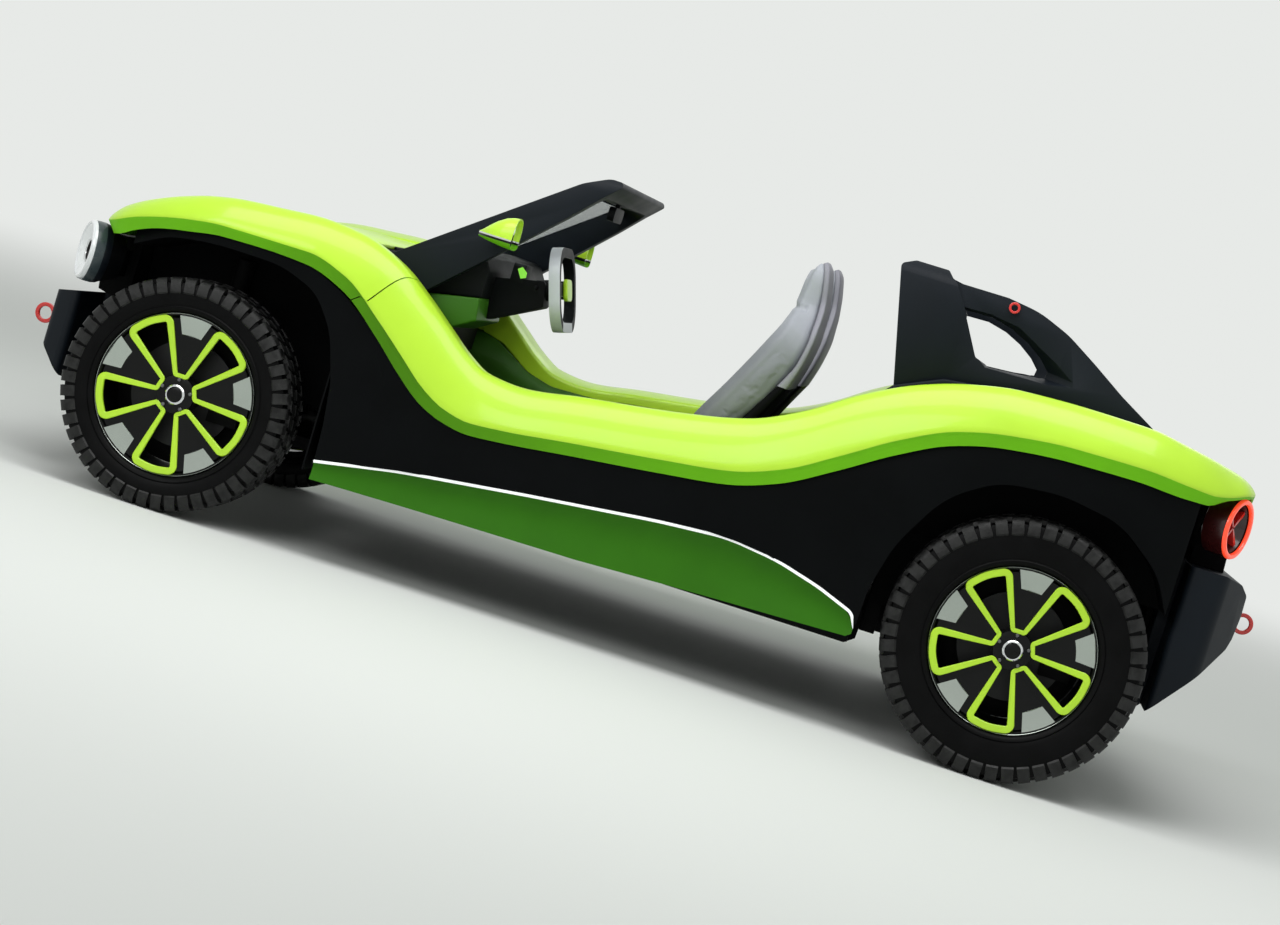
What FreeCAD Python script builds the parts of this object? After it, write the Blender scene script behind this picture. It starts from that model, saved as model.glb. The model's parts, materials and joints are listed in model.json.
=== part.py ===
import FreeCAD, Part
import math
import os

from FreeCAD import Vector

# Open two-seat electric dune buggy, millimetres.
# Front of the car is -Y, its left side is +X, up is +Z, the wheels stand on Z = 0.

# ---------------------------------------------------------------- driving sizes
wheelbase = 2650.0
front_axle_y = -1345.0
rear_axle_y = front_axle_y + wheelbase
overall_length = 4030.0

front_track_half = 765.0
front_tyre_radius = 360.0
front_tyre_width = 225.0
rear_track_half = 755.0
rear_tyre_radius = 395.0
rear_tyre_width = 255.0
rim_seat_radius = 250.0
lug_height = 14.0
lug_count = 24
wheel_sides = 48
bead_inset = 15.0
rear_arm_reach = rear_track_half - 100

floor_z = 352.0
tray_bottom_z = 240.0
tray_half_width = 632.0
tray_front_y = -880.0
tray_rear_y = 850.0
tub_wall = 18.0
tub_floor = 15.0
tub_rim_z = 690.0
tub_rear_y = 640.0

ribbon_width = 235.0
ribbon_skin = 10.0
crest_inset = 90.0
low_inset = 25.0
inner_lip_drop = 60.0
crown_drop = 15.0
shell_seam_y = -800.0
seam_gap = 0.5

front_bay_half = 445.0
drive_unit_half = 250.0

hoop_inner_x = 600.0
hoop_outer_x = 660.0
pillar_base_outer_x = 646.0
pillar_base_inner_x = 585.0
pillar_top_outer_x = 602.0
pillar_top_inner_x = 545.0

seat_width = 470.0
seat_side_gap = 9.0
seat_centre_x = tray_half_width - tub_wall - seat_side_gap - seat_width / 2
headrest_width = 270.0

kingpin_x = 688.0
kingpin_radius = 26.0
running_clearance = 0.05
spindle_radius = 25.0

lamp_outer_radius = 97.0
lamp_depth = 55.0
tail_ring_radius = 92.0
tail_lamp_turn = 28.0
tail_lamp_face = Vector(700, 1832, 931)
headlamp_turn = 30.0
headlamp_face = Vector(700, -1796, 694)
tow_eye_radius = 34.0
tow_eye_bore = 21.0
tow_eye_thickness = 16.0
tow_eye_x = 320.0
bumper_front_y = -overall_length / 2 + 105
bumper_rear_y = overall_length / 2 - 69
bumper_mount_front_y = -1660.0
bumper_mount_rear_y = 1700.0

glass_thickness = 6.0
panel_thickness = 20.0
strip_height = 9.0
strip_proud = 3.0
hinge_y = -906.0
hinge_z = 978.0
hinge_x = 380.0
hinge_length = 120.0
hinge_radius = 4.0
seat_clearance = 0.3

# Height lines of the body ribbon along the car, one row per section:
# station y, widest half width, crest height, fold height, lower edge height.
front_stations = [
    (-1735, 706, 790, 778, 765),
    (-1690, 756, 831, 797, 765),
    (-1600, 830, 899, 839, 810),
    (-1480, 895, 957, 878, 848),
    (-1345, 930, 988, 897, 865),
    (-1200, 927, 1000, 900, 869),
    (-1060, 920, 1010, 900, 862),
    (-930, 904, 997, 862, 817),
    (-800, 890, 949, 766, 717),
]
side_stations = [
    (-800, 890, 949, 766, 717),
    (-700, 880, 880, 682, 626),
    (-610, 876, 809, 608, 558),
    (-530, 873, 747, 567, 526),
    (-450, 870, 705, 551, 513),
    (-350, 868, 695, 558, 520),
    (-150, 868, 724, 584, 544),
    (150, 874, 769, 622, 580),
    (350, 884, 814, 652, 609),
    (500, 897, 884, 705, 660),
    (650, 909, 983, 795, 747),
    (800, 922, 1060, 891, 843),
    (950, 932, 1109, 964, 920),
    (1100, 940, 1136, 1000, 959),
    (1300, 944, 1144, 1021, 979),
    (1500, 929, 1142, 1024, 983),
    (1650, 893, 1117, 1013, 975),
    (1720, 863, 1097, 1005, 970),
    (1790, 810, 1071, 1005, 970),
    (1860, 740, 1000, 985, 965),
]


# ---------------------------------------------------------------- small helpers
def outline(points, place):
    """Closed wire through (a, b, corner radius) points; place puts (a, b) in space."""
    count = len(points)
    edges = []
    previous_end = None
    first_start = None
    for i in range(count):
        a = Vector(points[i - 1][0], points[i - 1][1], 0)
        b = Vector(points[i][0], points[i][1], 0)
        c = Vector(points[(i + 1) % count][0], points[(i + 1) % count][1], 0)
        radius = points[i][2]
        towards_a = (a - b).normalize()
        towards_c = (c - b).normalize()
        corner = towards_a.getAngle(towards_c)
        if radius > 0 and math.pi - corner > 0.01:
            back = radius / math.tan(corner / 2)
            start = b + towards_a * back
            end = b + towards_c * back
            bisector = (towards_a + towards_c).normalize()
            middle = b + bisector * (radius / math.sin(corner / 2) - radius)
            arc = (start, middle, end)
        else:
            start = b
            end = b
            arc = None
        if previous_end is not None:
            edges.append((previous_end, start))
        else:
            first_start = start
        if arc:
            edges.append(arc)
        previous_end = end
    edges.append((previous_end, first_start))
    made = []
    for edge in edges:
        spots = [place(spot.x, spot.y) for spot in edge]
        if len(spots) == 3:
            made.append(Part.Arc(*spots).toShape())
        elif spots[0].distanceToPoint(spots[1]) > 1e-4:
            made.append(Part.LineSegment(*spots).toShape())
    return Part.Wire(made)


def side_slab(points, x_from, x_to):
    """Side-view outline (y, z, corner radius) carried across the car."""
    wire = outline(points, lambda y, z: Vector(x_from, y, z))
    return Part.Face(wire).extrude(Vector(x_to - x_from, 0, 0))


def front_slab(points, y_from, y_to):
    """Front-view outline (x, z, corner radius) carried along the car."""
    wire = outline(points, lambda x, z: Vector(x, y_from, z))
    return Part.Face(wire).extrude(Vector(0, y_to - y_from, 0))


def plan_slab(points, z_from, z_to):
    """Plan outline (x, y, corner radius) carried upwards."""
    wire = outline(points, lambda x, y: Vector(x, y, z_from))
    return Part.Face(wire).extrude(Vector(0, 0, z_to - z_from))


def block(x_from, x_to, y_from, y_to, z_from, z_to):
    size = (x_to - x_from, y_to - y_from, z_to - z_from)
    return Part.makeBox(*size, Vector(x_from, y_from, z_from))


def rod(start, end, radius):
    along = end - start
    return Part.makeCylinder(radius, along.Length, start, along)


def ring(centre, axis, outer, inner, depth):
    solid = Part.makeCylinder(outer, depth, centre, axis)
    return solid.cut(Part.makeCylinder(inner, depth, centre, axis))


def mirrored(shape):
    return shape.mirror(Vector(0, 0, 0), Vector(1, 0, 0))


def pair(shape):
    """The shape and its twin on the other side of the car."""
    return Part.makeCompound([shape, mirrored(shape)])


def fused(shapes):
    whole = shapes[0].multiFuse(shapes[1:]) if len(shapes) > 1 else shapes[0]
    return whole.removeSplitter()


def export(node, shape):
    shape.exportStep("parts/%s.step" % node)


# ---------------------------------------------------------------- body ribbon
def ribbon_section(row):
    """Cross section of the folded skin: outer side first, then back along the inside."""
    y, out, crest, fold, low = row
    skin = ribbon_skin
    inner = out - ribbon_width
    spots = [
        (out - low_inset, low),
        (out, fold),
        (out - crest_inset, crest),
        (inner, crest - crown_drop),
        (inner, crest - inner_lip_drop),
        (inner + skin, crest - inner_lip_drop),
        (inner + skin, crest - crown_drop - skin),
        (out - crest_inset - skin / 2, crest - skin),
        (out - skin * 1.2, fold),
        (out - low_inset - skin, low),
    ]
    return Part.makePolygon([Vector(x, y, z) for x, z in spots + spots[:1]])


def ribbon(stations):
    return Part.makeLoft([ribbon_section(row) for row in stations], True, True)


def build_front_shell():
    nose = [
        (-1745, 790, 12),
        (-1728, 826, 20),
        (-1665, 872, 0),
        (-1665, 850, 0),
        (-1710, 808, 20),
        (-1722, 765, 0),
        (-1740, 765, 0),
    ]
    bar = side_slab(nose, -540, 540)
    fender = ribbon(front_stations)
    return fused([fender, mirrored(fender), bar])


def build_body_sides():
    rows = list(side_stations)
    first = rows[0]
    rows[0] = (first[0] + seam_gap,) + first[1:]
    axis = lamp_axis(1, tail_lamp_turn)
    start = tail_lamp_face - axis * 200
    notch = Part.makeCylinder(tail_ring_radius + 3.3, 260, start, axis)
    return pair(ribbon(rows).cut(notch))


def plan_band(outer, depth):
    """Band between a plan line of (x, y, corner radius) and the same line moved in."""
    inner = [(x - depth, y, r) for x, y, r in reversed(outer)]
    return plan_slab(outer + inner, 0, 1500)


side_line = [
    (774, -1626, 0),
    (794, -1600, 60),
    (859, -1480, 200),
    (894, -1345, 300),
    (891, -1200, 800),
    (881, -1030, 600),
    (858, -850, 700),
    (833, -450, 900),
    (838, 250, 2500),
    (882, 760, 1500),
    (904, 1100, 900),
    (909, 1300, 900),
    (894, 1500, 600),
    (858, 1650, 200),
    (834, 1698, 0),
]

# Side view of the wheel openings, (y, z, corner radius); the lower edges only close them.
front_opening = [
    (-869, 280, 0),
    (-875, 411, 0),
    (-890, 541, 200),
    (-935, 690, 300),
    (-1010, 790, 150),
    (-1130, 836, 300),
    (-1345, 840, 900),
    (-1500, 818, 300),
    (-1630, 757, 0),
    (-1630, 280, 0),
]
rear_opening = [
    (1702, 280, 0),
    (1702, 620, 0),
    (1640, 740, 250),
    (1490, 850, 250),
    (1305, 880, 400),
    (1120, 862, 250),
    (980, 771, 300),
    (880, 591, 400),
    (845, 441, 0),
    (840, 280, 0),
]
liner_skin = 8.0
front_liner_low_z = 560.0
rear_liner_low_z = 445.0
rear_liner_gap = 29.5
rear_liner_wall_x = rear_track_half - rear_tyre_width / 2 - rear_liner_gap

strip_line = [
    (-870, 291, 0),
    (-620, 336, 0),
    (-420, 361, 0),
    (-220, 386, 0),
    (-20, 411, 0),
    (180, 436, 0),
    (330, 448, 0),
    (430, 446, 0),
    (530, 436, 0),
    (680, 396, 0),
    (780, 371, 0),
    (837, 320, 0),
]


def raised(line, height):
    return [(y, z + height, r) for y, z, r in line]


def build_side_panels():
    top_edge = [
        (-1626, 802, 0),
        (-1600, 820, 60),
        (-1480, 858, 300),
        (-1345, 876, 600),
        (-1200, 879, 900),
        (-1060, 871, 300),
        (-930, 810, 200),
        (-800, 722, 600),
        (-610, 562, 200),
        (-450, 512, 300),
        (350, 617, 900),
        (500, 668, 500),
        (650, 755, 500),
        (800, 851, 500),
        (950, 928, 400),
        (1100, 967, 500),
        (1300, 987, 900),
        (1500, 991, 900),
        (1698, 978, 0),
        (1698, 329, 0),
    ]
    bottom = list(reversed(raised(strip_line, strip_height)))
    region = side_slab([(-1626, 300, 0)] + top_edge + bottom, 700, 1000)
    panel = region.common(plan_band(side_line, panel_thickness))
    for opening in (front_opening, rear_opening):
        panel = panel.cut(side_slab(opening, 700, 1000))
    return pair(panel.cut(build_front_shell()).cut(build_body_sides()))


def grown_opening(opening, axle_y, axle_z):
    """The opening with every point moved away from the axle by the liner's skin."""
    scaled = []
    for y, z, r in opening:
        reach = math.hypot(y - axle_y, z - axle_z)
        k = 1 + liner_skin / reach
        scaled.append((axle_y + (y - axle_y) * k, axle_z + (z - axle_z) * k, r * k))
    return scaled


def build_arch_liners():
    """Thin shells that line the wheel openings behind the side panels."""
    liners = []
    for opening, axle_y, axle_z, inner_x, low_z in (
        (front_opening, front_axle_y, front_tyre_radius, front_bay_half, front_liner_low_z),
        (rear_opening, rear_axle_y, rear_tyre_radius, rear_liner_wall_x, rear_liner_low_z),
    ):
        rim = side_slab(grown_opening(opening, axle_y, axle_z), 400, 1000)
        rim = rim.cut(side_slab(opening, 400, 1000))
        behind = [(x - panel_thickness, y, r) for x, y, r in side_line]
        inboard = [(inner_x, side_line[-1][1], 0), (inner_x, side_line[0][1], 0)]
        rim = rim.common(plan_slab(behind + inboard, low_z, 1000))
        liners.append(rim)
    wall = side_slab(rear_opening, rear_liner_wall_x, rear_liner_wall_x + liner_skin)
    wall = wall.common(block(0, 1000, 0, side_line[-1][1], 625, 1000))
    rear = fused([liners[1], wall])
    front = liners[0].cut(build_front_shell())
    rear = rear.cut(build_body_sides())
    return Part.makeCompound([front, mirrored(front), rear, mirrored(rear)])


def build_rockers():
    below = [
        (837, 292, 0),
        (828, 288, 0),
        (-20, 251, 0),
        (-870, 240, 0),
    ]
    region = side_slab(strip_line + below, 700, 1000)
    skin = region.common(plan_band(side_line, panel_thickness + 25))
    return pair(skin.cut(build_battery_tray()))


def build_light_strips():
    region = side_slab(strip_line + list(reversed(raised(strip_line, strip_height))), 700, 1000)
    proud_line = [(x + strip_proud, y, r) for x, y, r in side_line]
    return pair(region.common(plan_band(proud_line, panel_thickness)))


# ---------------------------------------------------------------- floor, tub, deck
def build_battery_tray():
    profile = [
        (tray_front_y, 262, 0),
        (tray_front_y + 30, tray_bottom_z, 0),
        (tray_rear_y - 30, tray_bottom_z, 0),
        (tray_rear_y, 262, 0),
        (tray_rear_y, floor_z, 0),
        (tray_front_y, floor_z, 0),
    ]
    tray = side_slab(profile, -tray_half_width, tray_half_width)
    section = [
        (tray_half_width - 5, 250, 0),
        (800, 262, 20),
        (815, 300, 20),
        (800, 415, 30),
        (tray_half_width + 30, 440, 0),
        (tray_half_width + 0.3, 440, 0),
        (tray_half_width + 0.3, floor_z, 0),
        (tray_half_width - 5, floor_z, 0),
    ]
    sill = front_slab(section, tray_front_y + 20, tray_rear_y - 20)
    return fused([tray, sill, mirrored(sill)])


deck_line = [
    (640, 940),
    (730, 1037),
    (870, 1100),
    (1100, 1128),
    (1513, 1140),
    (1735, 1095),
]


door_card_line = [
    (-450, tub_rim_z, 200),
    (-530, 716, 200),
    (-610, 772, 200),
    (-700, 842, 200),
    (-770, 866, 60),
    (tray_front_y, 866, 0),
]


def build_cabin_tub():
    """Open tub whose side walls rise at the front as door cards inside the ribbon."""
    outer = side_slab(
        [
            (tray_front_y, floor_z, 0),
            (tub_rear_y, floor_z, 0),
            (tub_rear_y, tub_rim_z, 0),
        ]
        + door_card_line,
        -tray_half_width,
        tray_half_width,
    )
    inner_half = tray_half_width - tub_wall
    room = side_slab(
        [
            (tray_front_y + tub_wall, floor_z + tub_floor, 0),
            (tub_rear_y - tub_wall - 120, floor_z + tub_floor, 0),
            (tub_rear_y - tub_wall, tub_rim_z + 1, 0),
            (tray_front_y + tub_wall, tub_rim_z + 1, 0),
        ],
        -inner_half,
        inner_half,
    )
    above = block(-inner_half, inner_half, tray_front_y - 1, tub_rear_y, tub_rim_z, 1000)
    return outer.cut(room).cut(above)


def build_rear_deck():
    top = [(y, z, 0) for y, z in deck_line]
    lower = [
        (1735, 1075, 0),
        (1513, 1118, 0),
        (1100, 1106, 0),
        (880, 1078, 0),
        (745, 1018, 0),
        (660, 925, 0),
        (640, tub_rim_z, 0),
        (620, tub_rim_z, 0),
    ]
    region = side_slab(top + lower, -700, 700)
    plan = [
        (-625, 600, 0),
        (625, 600, 0),
        (672, 700, 0),
        (700, 1100, 300),
        (690, 1500, 300),
        (600, 1740, 0),
        (-600, 1740, 0),
        (-690, 1500, 300),
        (-700, 1100, 300),
        (-672, 700, 0),
    ]
    return region.common(plan_slab(plan, 600, 1300))


def build_tail_panel():
    section = [
        (1735.5, 1094, 0),
        (1800, 1072, 40),
        (1852, 1010, 40),
        (1862, 968, 0),
        (1735.5, 968, 0),
    ]
    return side_slab(section, -498, 498)


def build_front_bay():
    outer = [
        (-1640, 420, 0),
        (-904.3, 420, 0),
        (-904.3, 860, 0),
        (-1600, 860, 60),
        (-1655, 780, 0),
    ]
    inner = [
        (-1622, 428, 0),
        (-913, 428, 0),
        (-913, 870, 0),
        (-1592, 870, 0),
        (-1640, 776, 0),
    ]
    return side_slab(outer, -front_bay_half, front_bay_half).cut(
        side_slab(inner, 8 - front_bay_half, front_bay_half - 8)
    )


def build_cowl():
    section = [
        (-904, tub_rim_z + seat_clearance, 0),
        (-904, 955, 0),
        (-897, 972, 0),
        (-868, 962, 0),
        (-752, 962, 0),
        (-752, tub_rim_z + seat_clearance, 0),
    ]
    scuttle = side_slab(section, -575, 575)
    barrels = []
    for x in (-hinge_x, hinge_x):
        start = Vector(x - hinge_length / 2, hinge_y, hinge_z)
        barrels.append(Part.makeCylinder(hinge_radius, hinge_length, start, Vector(1, 0, 0)))
        web = (x - hinge_length / 2, x + hinge_length / 2, hinge_y + 1, hinge_y + 5)
        barrels.append(block(*web, hinge_z - 20, hinge_z))
    return fused([scuttle] + barrels)


# ---------------------------------------------------------------- bonnet
def build_bonnet():
    top = [
        (-1657, 878, 0),
        (-1590, 938, 240),
        (-1250, 985, 900),
        (hinge_y - hinge_radius - seat_clearance, 985, 0),
    ]
    under = [
        (hinge_y - hinge_radius - seat_clearance, 970, 0),
        (-1250, 970, 900),
        (-1582, 924, 240),
        (-1648, 866, 0),
    ]
    region = side_slab(top + under, -700, 700)
    half = [
        (520, -1660, 0),
        (590, -1600, 100),
        (655, -1480, 200),
        (688, -1345, 400),
        (678, -1060, 400),
        (652, -909, 0),
    ]
    twin = [(-x, y, r) for x, y, r in reversed(half)]
    return region.common(plan_slab(half + twin, 700, 1100))


# ---------------------------------------------------------------- bumpers, lamps
def build_front_fascia():
    section = [
        (-1722, 764, 0),
        (-1762, 764, 0),
        (-1775, 690, 0),
        (-1760, 580, 0),
        (-1700, 565, 0),
        (-1660, 565, 0),
        (-1660, 764, 0),
    ]
    pod = headlamp_pod()
    fascia = fused([side_slab(section, -560, 560), pod, mirrored(pod)])
    return fascia.cut(build_front_shell())


def build_front_bumper():
    front = bumper_front_y
    mount = bumper_mount_front_y
    section = [
        (front + 11, 535, 12),
        (front + 140, 564.5, 0),
        (mount, 564.5, 0),
        (mount, 300, 0),
        (front + 145, 261, 0),
        (front + 26, 375, 15),
        (front, 515, 10),
    ]
    half_plan = [
        (440, mount + 20, 0),
        (440, front + 140, 0),
        (640, front + 120, 20),
        (600, front + 40, 40),
        (420, front - 15, 100),
    ]
    plan = half_plan + [(-x, y, r) for x, y, r in reversed(half_plan)]
    return side_slab(section, -700, 700).common(plan_slab(plan, 200, 600))


def build_rear_fascia():
    section = [
        (1740, 967, 0),
        (1835, 967, 0),
        (1846, 789, 0),
        (1740, 789, 0),
    ]
    return side_slab(section, -600, 600).cut(build_body_sides())


def build_rear_bumper():
    rear = bumper_rear_y
    mount = bumper_mount_rear_y
    section = [
        (rear - 100, 788.5, 0),
        (rear - 34, 771, 20),
        (rear - 4, 740, 20),
        (rear, 675, 0),
        (rear - 8, 602, 0),
        (rear - 19, 567, 20),
        (mount + 57, 357, 30),
        (mount + 20, 313, 0),
        (mount, 330, 0),
        (mount, 788.5, 0),
    ]
    half_plan = [
        (560, mount - 10, 0),
        (560, mount + 35, 0),
        (760, mount + 35, 20),
        (740, rear - 96, 60),
        (520, rear + 4, 150),
    ]
    plan = half_plan + [(-x, y, r) for x, y, r in reversed(half_plan)]
    return side_slab(section, -800, 800).common(plan_slab(plan, 300, 800))


def tow_eye(centre_y, centre_z, towards):
    """Ring standing out of a bumper, with its shank running back into it."""
    centre = Vector(tow_eye_x - tow_eye_thickness / 2, centre_y, centre_z)
    eye = ring(centre, Vector(1, 0, 0), tow_eye_radius, tow_eye_bore, tow_eye_thickness)
    shank_root = centre_y - towards * (tow_eye_radius + 55)
    shank_tip = centre_y - towards * (tow_eye_bore + 4)
    low_y, high_y = sorted((shank_root, shank_tip))
    half = tow_eye_thickness / 2
    shank = block(tow_eye_x - half, tow_eye_x + half, low_y, high_y, centre_z - 11, centre_z + 11)
    return fused([eye, shank])


def build_tow_eyes(front_bumper, rear_bumper):
    reach = overall_length / 2 - tow_eye_radius
    front = tow_eye(-reach, 434, -1).cut(front_bumper)
    rear = tow_eye(reach, 643, 1).cut(rear_bumper)
    return Part.makeCompound([front, mirrored(front), rear, mirrored(rear)])


def lamp_axis(sign, turn):
    return Vector(math.sin(math.radians(turn)), sign * math.cos(math.radians(turn)), 0)


def build_headlamp_bezels():
    axis = lamp_axis(-1, headlamp_turn)
    back = headlamp_face - axis * lamp_depth
    shell = Part.makeCylinder(lamp_outer_radius, lamp_depth, back, axis)
    cup = Part.makeCylinder(lamp_outer_radius - 12, lamp_depth - 18, back + axis * 18, axis)
    return pair(shell.cut(cup).cut(build_front_shell()))


def build_headlamp_lenses():
    axis = lamp_axis(-1, headlamp_turn)
    seat = headlamp_face - axis * (lamp_depth - 18.3)
    return pair(Part.makeCylinder(lamp_outer_radius - 12.3, lamp_depth - 24, seat, axis))


def headlamp_pod():
    """Dark housing that carries the lamp from the fascia."""
    axis = lamp_axis(-1, headlamp_turn)
    back = headlamp_face - axis * (lamp_depth + seat_clearance)
    cone = Part.makeCone(66, lamp_outer_radius - 4, 62, back - axis * 62, axis)
    arm = block(550, 668, -1740, -1690, 640, 725)
    return fused([cone, arm])


def build_tail_lamp_tubes():
    axis = lamp_axis(1, tail_lamp_turn)
    back = tail_lamp_face - axis * 75
    tube = Part.makeCylinder(tail_ring_radius, 75, back, axis)
    cup = Part.makeCylinder(tail_ring_radius - 14, 45, back + axis * 30, axis)
    carrier = block(560, 690, 1700, 1762, 860, 955)
    tube = fused([tube.cut(cup), carrier.cut(Part.makeCylinder(80, 200, back + axis * 30, axis))])
    return pair(tube.cut(block(300, 600.3, 1730, 1900, 700, 1000)))


def build_tail_lamp_rings():
    axis = lamp_axis(1, tail_lamp_turn)
    return pair(ring(tail_lamp_face + axis * 0.3, axis, tail_ring_radius + 3, tail_ring_radius - 14, 12))


# ---------------------------------------------------------------- windscreen, mirrors
screen_side = [
    (-872, 964, 0),
    (-686, 1101, 900),
    (-598, 1170, 600),
    (-368, 1344, 150),
    (-290, 1383, 60),
    (-250, 1382, 12),
    (-246, 1366, 8),
    (-298, 1316, 120),
    (-376, 1234, 0),
    (-521, 1091, 300),
    (-738, 882, 0),
]


def screen_aperture(grow):
    """Front view of the glazed opening, open at the bottom; grow widens it."""
    return [
        (-pillar_base_inner_x - grow, 860, 0),
        (pillar_base_inner_x + grow, 860, 0),
        (pillar_top_inner_x + grow, 1322 + grow, 45),
        (-pillar_top_inner_x - grow, 1322 + grow, 45),
    ]


def build_windscreen_frame():
    outer = [
        (-pillar_base_outer_x, 870, 0),
        (pillar_base_outer_x, 870, 0),
        (pillar_top_outer_x, 1400, 70),
        (-pillar_top_outer_x, 1400, 70),
    ]
    region = side_slab(screen_side, -760, 760)
    frame = region.common(front_slab(outer, -950, -100))
    frame = frame.cut(front_slab(screen_aperture(0), -950, -100))
    arm = block(600, mirror_inner_x - seat_clearance, -575, -545, 1098, 1118)
    return fused([frame, arm, mirrored(arm)])


def build_windscreen_glass():
    rise = glass_thickness * 1.25
    sheet = [
        (-862, 963, 0),
        (-372, 1336, 0),
        (-372, 1336 - rise, 0),
        (-862 + rise, 962.3, 0),
    ]
    region = side_slab(sheet, -760, 760)
    return region.common(front_slab(screen_aperture(-0.3), -950, -100))


mirror_inner_x = 745.0
mirror_outer_x = 895.0
mirror_rear_y = -480.0
mirror_rim = 12.0
mirror_recess = 8.0
mirror_low_z = 1084.0
mirror_high_z = 1182.0


def build_mirror_shells():
    """Teardrop shells, pointed to the front, with a recess for the glass."""
    shell = [
        (-604, 1104, 8),
        (-545, 1163, 60),
        (-500, mirror_high_z + 3, 15),
        (mirror_rear_y, mirror_high_z, 0),
        (mirror_rear_y, mirror_low_z, 0),
        (-560, mirror_low_z, 60),
    ]
    front_view = [
        (mirror_inner_x, 1093, 20),
        (mirror_inner_x + 20, mirror_low_z - 2, 20),
        (mirror_outer_x, mirror_low_z - 2, 30),
        (mirror_outer_x, 1150, 45),
        (mirror_outer_x - 50, mirror_high_z + 5, 60),
        (mirror_inner_x, mirror_high_z + 5, 30),
    ]
    body = side_slab(shell, mirror_inner_x, mirror_outer_x)
    body = body.common(front_slab(front_view, -700, -400))
    return pair(body.cut(mirror_pane(0, mirror_rear_y + 1)))


def mirror_pane(gap, rear_y):
    """The recess of the mirror shell; gap draws its sides in."""
    z_from = mirror_low_z + mirror_rim + gap
    z_to = mirror_high_z - mirror_rim - gap
    low_x = mirror_inner_x + mirror_rim + gap
    high_x = mirror_outer_x - mirror_rim - gap
    outline_points = [
        (low_x, z_from, 15),
        (high_x, z_from, 15),
        (high_x, z_to - 25, 25),
        (high_x - 30, z_to, 30),
        (low_x, z_to, 15),
    ]
    return front_slab(outline_points, mirror_rear_y - mirror_recess + gap, rear_y)


def build_mirror_glasses():
    return pair(mirror_pane(seat_clearance, mirror_rear_y - 2))


def build_inner_mirror():
    glass = front_slab([(-110, 1262, 20), (110, 1262, 20), (110, 1310, 20), (-110, 1310, 20)], -335, -312)
    stem = block(-12, 12, -331, -316, 1309, 1345)
    frame = build_windscreen_frame()
    return fused([glass, stem]).cut(frame)


# ---------------------------------------------------------------- roll hoop
def build_roll_hoop():
    base = [(y, z, 0) for y, z in deck_line[1:5]]
    plate = [
        (1394, 1207, 150),
        (1291, 1273, 500),
        (1188, 1335, 300),
        (1085, 1376, 300),
        (982, 1390, 0),
        (840, 1390, 0),
        (807, 1396, 20),
        (787, 1418, 10),
        (684, 1418, 20),
        (642, 1397, 15),
    ]
    side = side_slab(base + plate, hoop_inner_x, hoop_outer_x)
    window = [
        (868, 1315, 15),
        (982, 1315, 150),
        (1085, 1273, 200),
        (1163, 1205, 15),
        (1150, 1186, 15),
        (982, 1176, 30),
        (940, 1190, 15),
    ]
    side = side.cut(side_slab(window, hoop_inner_x - 5, hoop_outer_x + 5))
    bar = [
        (684, 1418, 20),
        (787, 1418, 10),
        (807, 1396, 20),
        (818, 1352, 20),
        (653, 1352, 20),
        (642, 1397, 15),
    ]
    cross = side_slab(bar, -hoop_inner_x - 1, hoop_inner_x + 1)
    hoop = fused([side, cross, mirrored(side)])
    front_view = [
        (-670, 1000, 0),
        (670, 1000, 0),
        (662, 1425, 70),
        (-662, 1425, 70),
    ]
    return hoop.common(front_slab(front_view, 600, 1600))


def build_marker_rings():
    centre = Vector(hoop_outer_x + seat_clearance, 1008, 1366)
    return pair(ring(centre, Vector(1, 0, 0), 17.5, 10, 8))


# ---------------------------------------------------------------- cabin fittings
seat_base_z = 640.5
bolster_rise = 26.0
bolster_width = 88.0

# Side view of the joint between pad and shell, (y, z, corner radius), from the top down.
seat_joint_line = [
    (426, 1345, 0),
    (463, 1250, 60),
    (477, 1095, 150),
    (455, 1010, 150),
    (418, 935, 150),
    (215, seat_base_z, 0),
]


def with_bolsters(pad, middle, drop):
    """Lowers the middle of a pad by drop, which leaves its sides standing proud."""
    skin = pad.cut(pad.translated(drop))
    return pad.cut(skin.common(middle))


def build_seat_cushions():
    section = [
        (-340, 480, 0),
        (-345, 555, 30),
        (-300, 600, 40),
        (60, 575, 60),
        (118, 640, 0),
        (150, 640, 0),
        (170, 480, 0),
    ]
    half = seat_width / 2
    pad = side_slab(section, seat_centre_x - half, seat_centre_x + half)
    valley = half - bolster_width
    middle = block(seat_centre_x - valley, seat_centre_x + valley, -400, 90, 520, 700)
    return pair(with_bolsters(pad, middle, Vector(0, 0, -bolster_rise)))


def seat_front_view(margin):
    """Front view of a seat back; margin draws it in from the sides."""
    half = seat_width / 2 - margin
    head = headrest_width / 2 - margin
    right_side = [
        (half - 15, seat_base_z - 10, 0),
        (half, 800, 200),
        (half - 20, 1120, 100),
        (head, 1190, 40),
        (head, 1350, 50),
    ]
    left_side = [(-x, z, r) for x, z, r in reversed(right_side)]
    moved_points = [(seat_centre_x + x, z, r) for x, z, r in right_side + left_side]
    return front_slab(moved_points, 0, 600)


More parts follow.
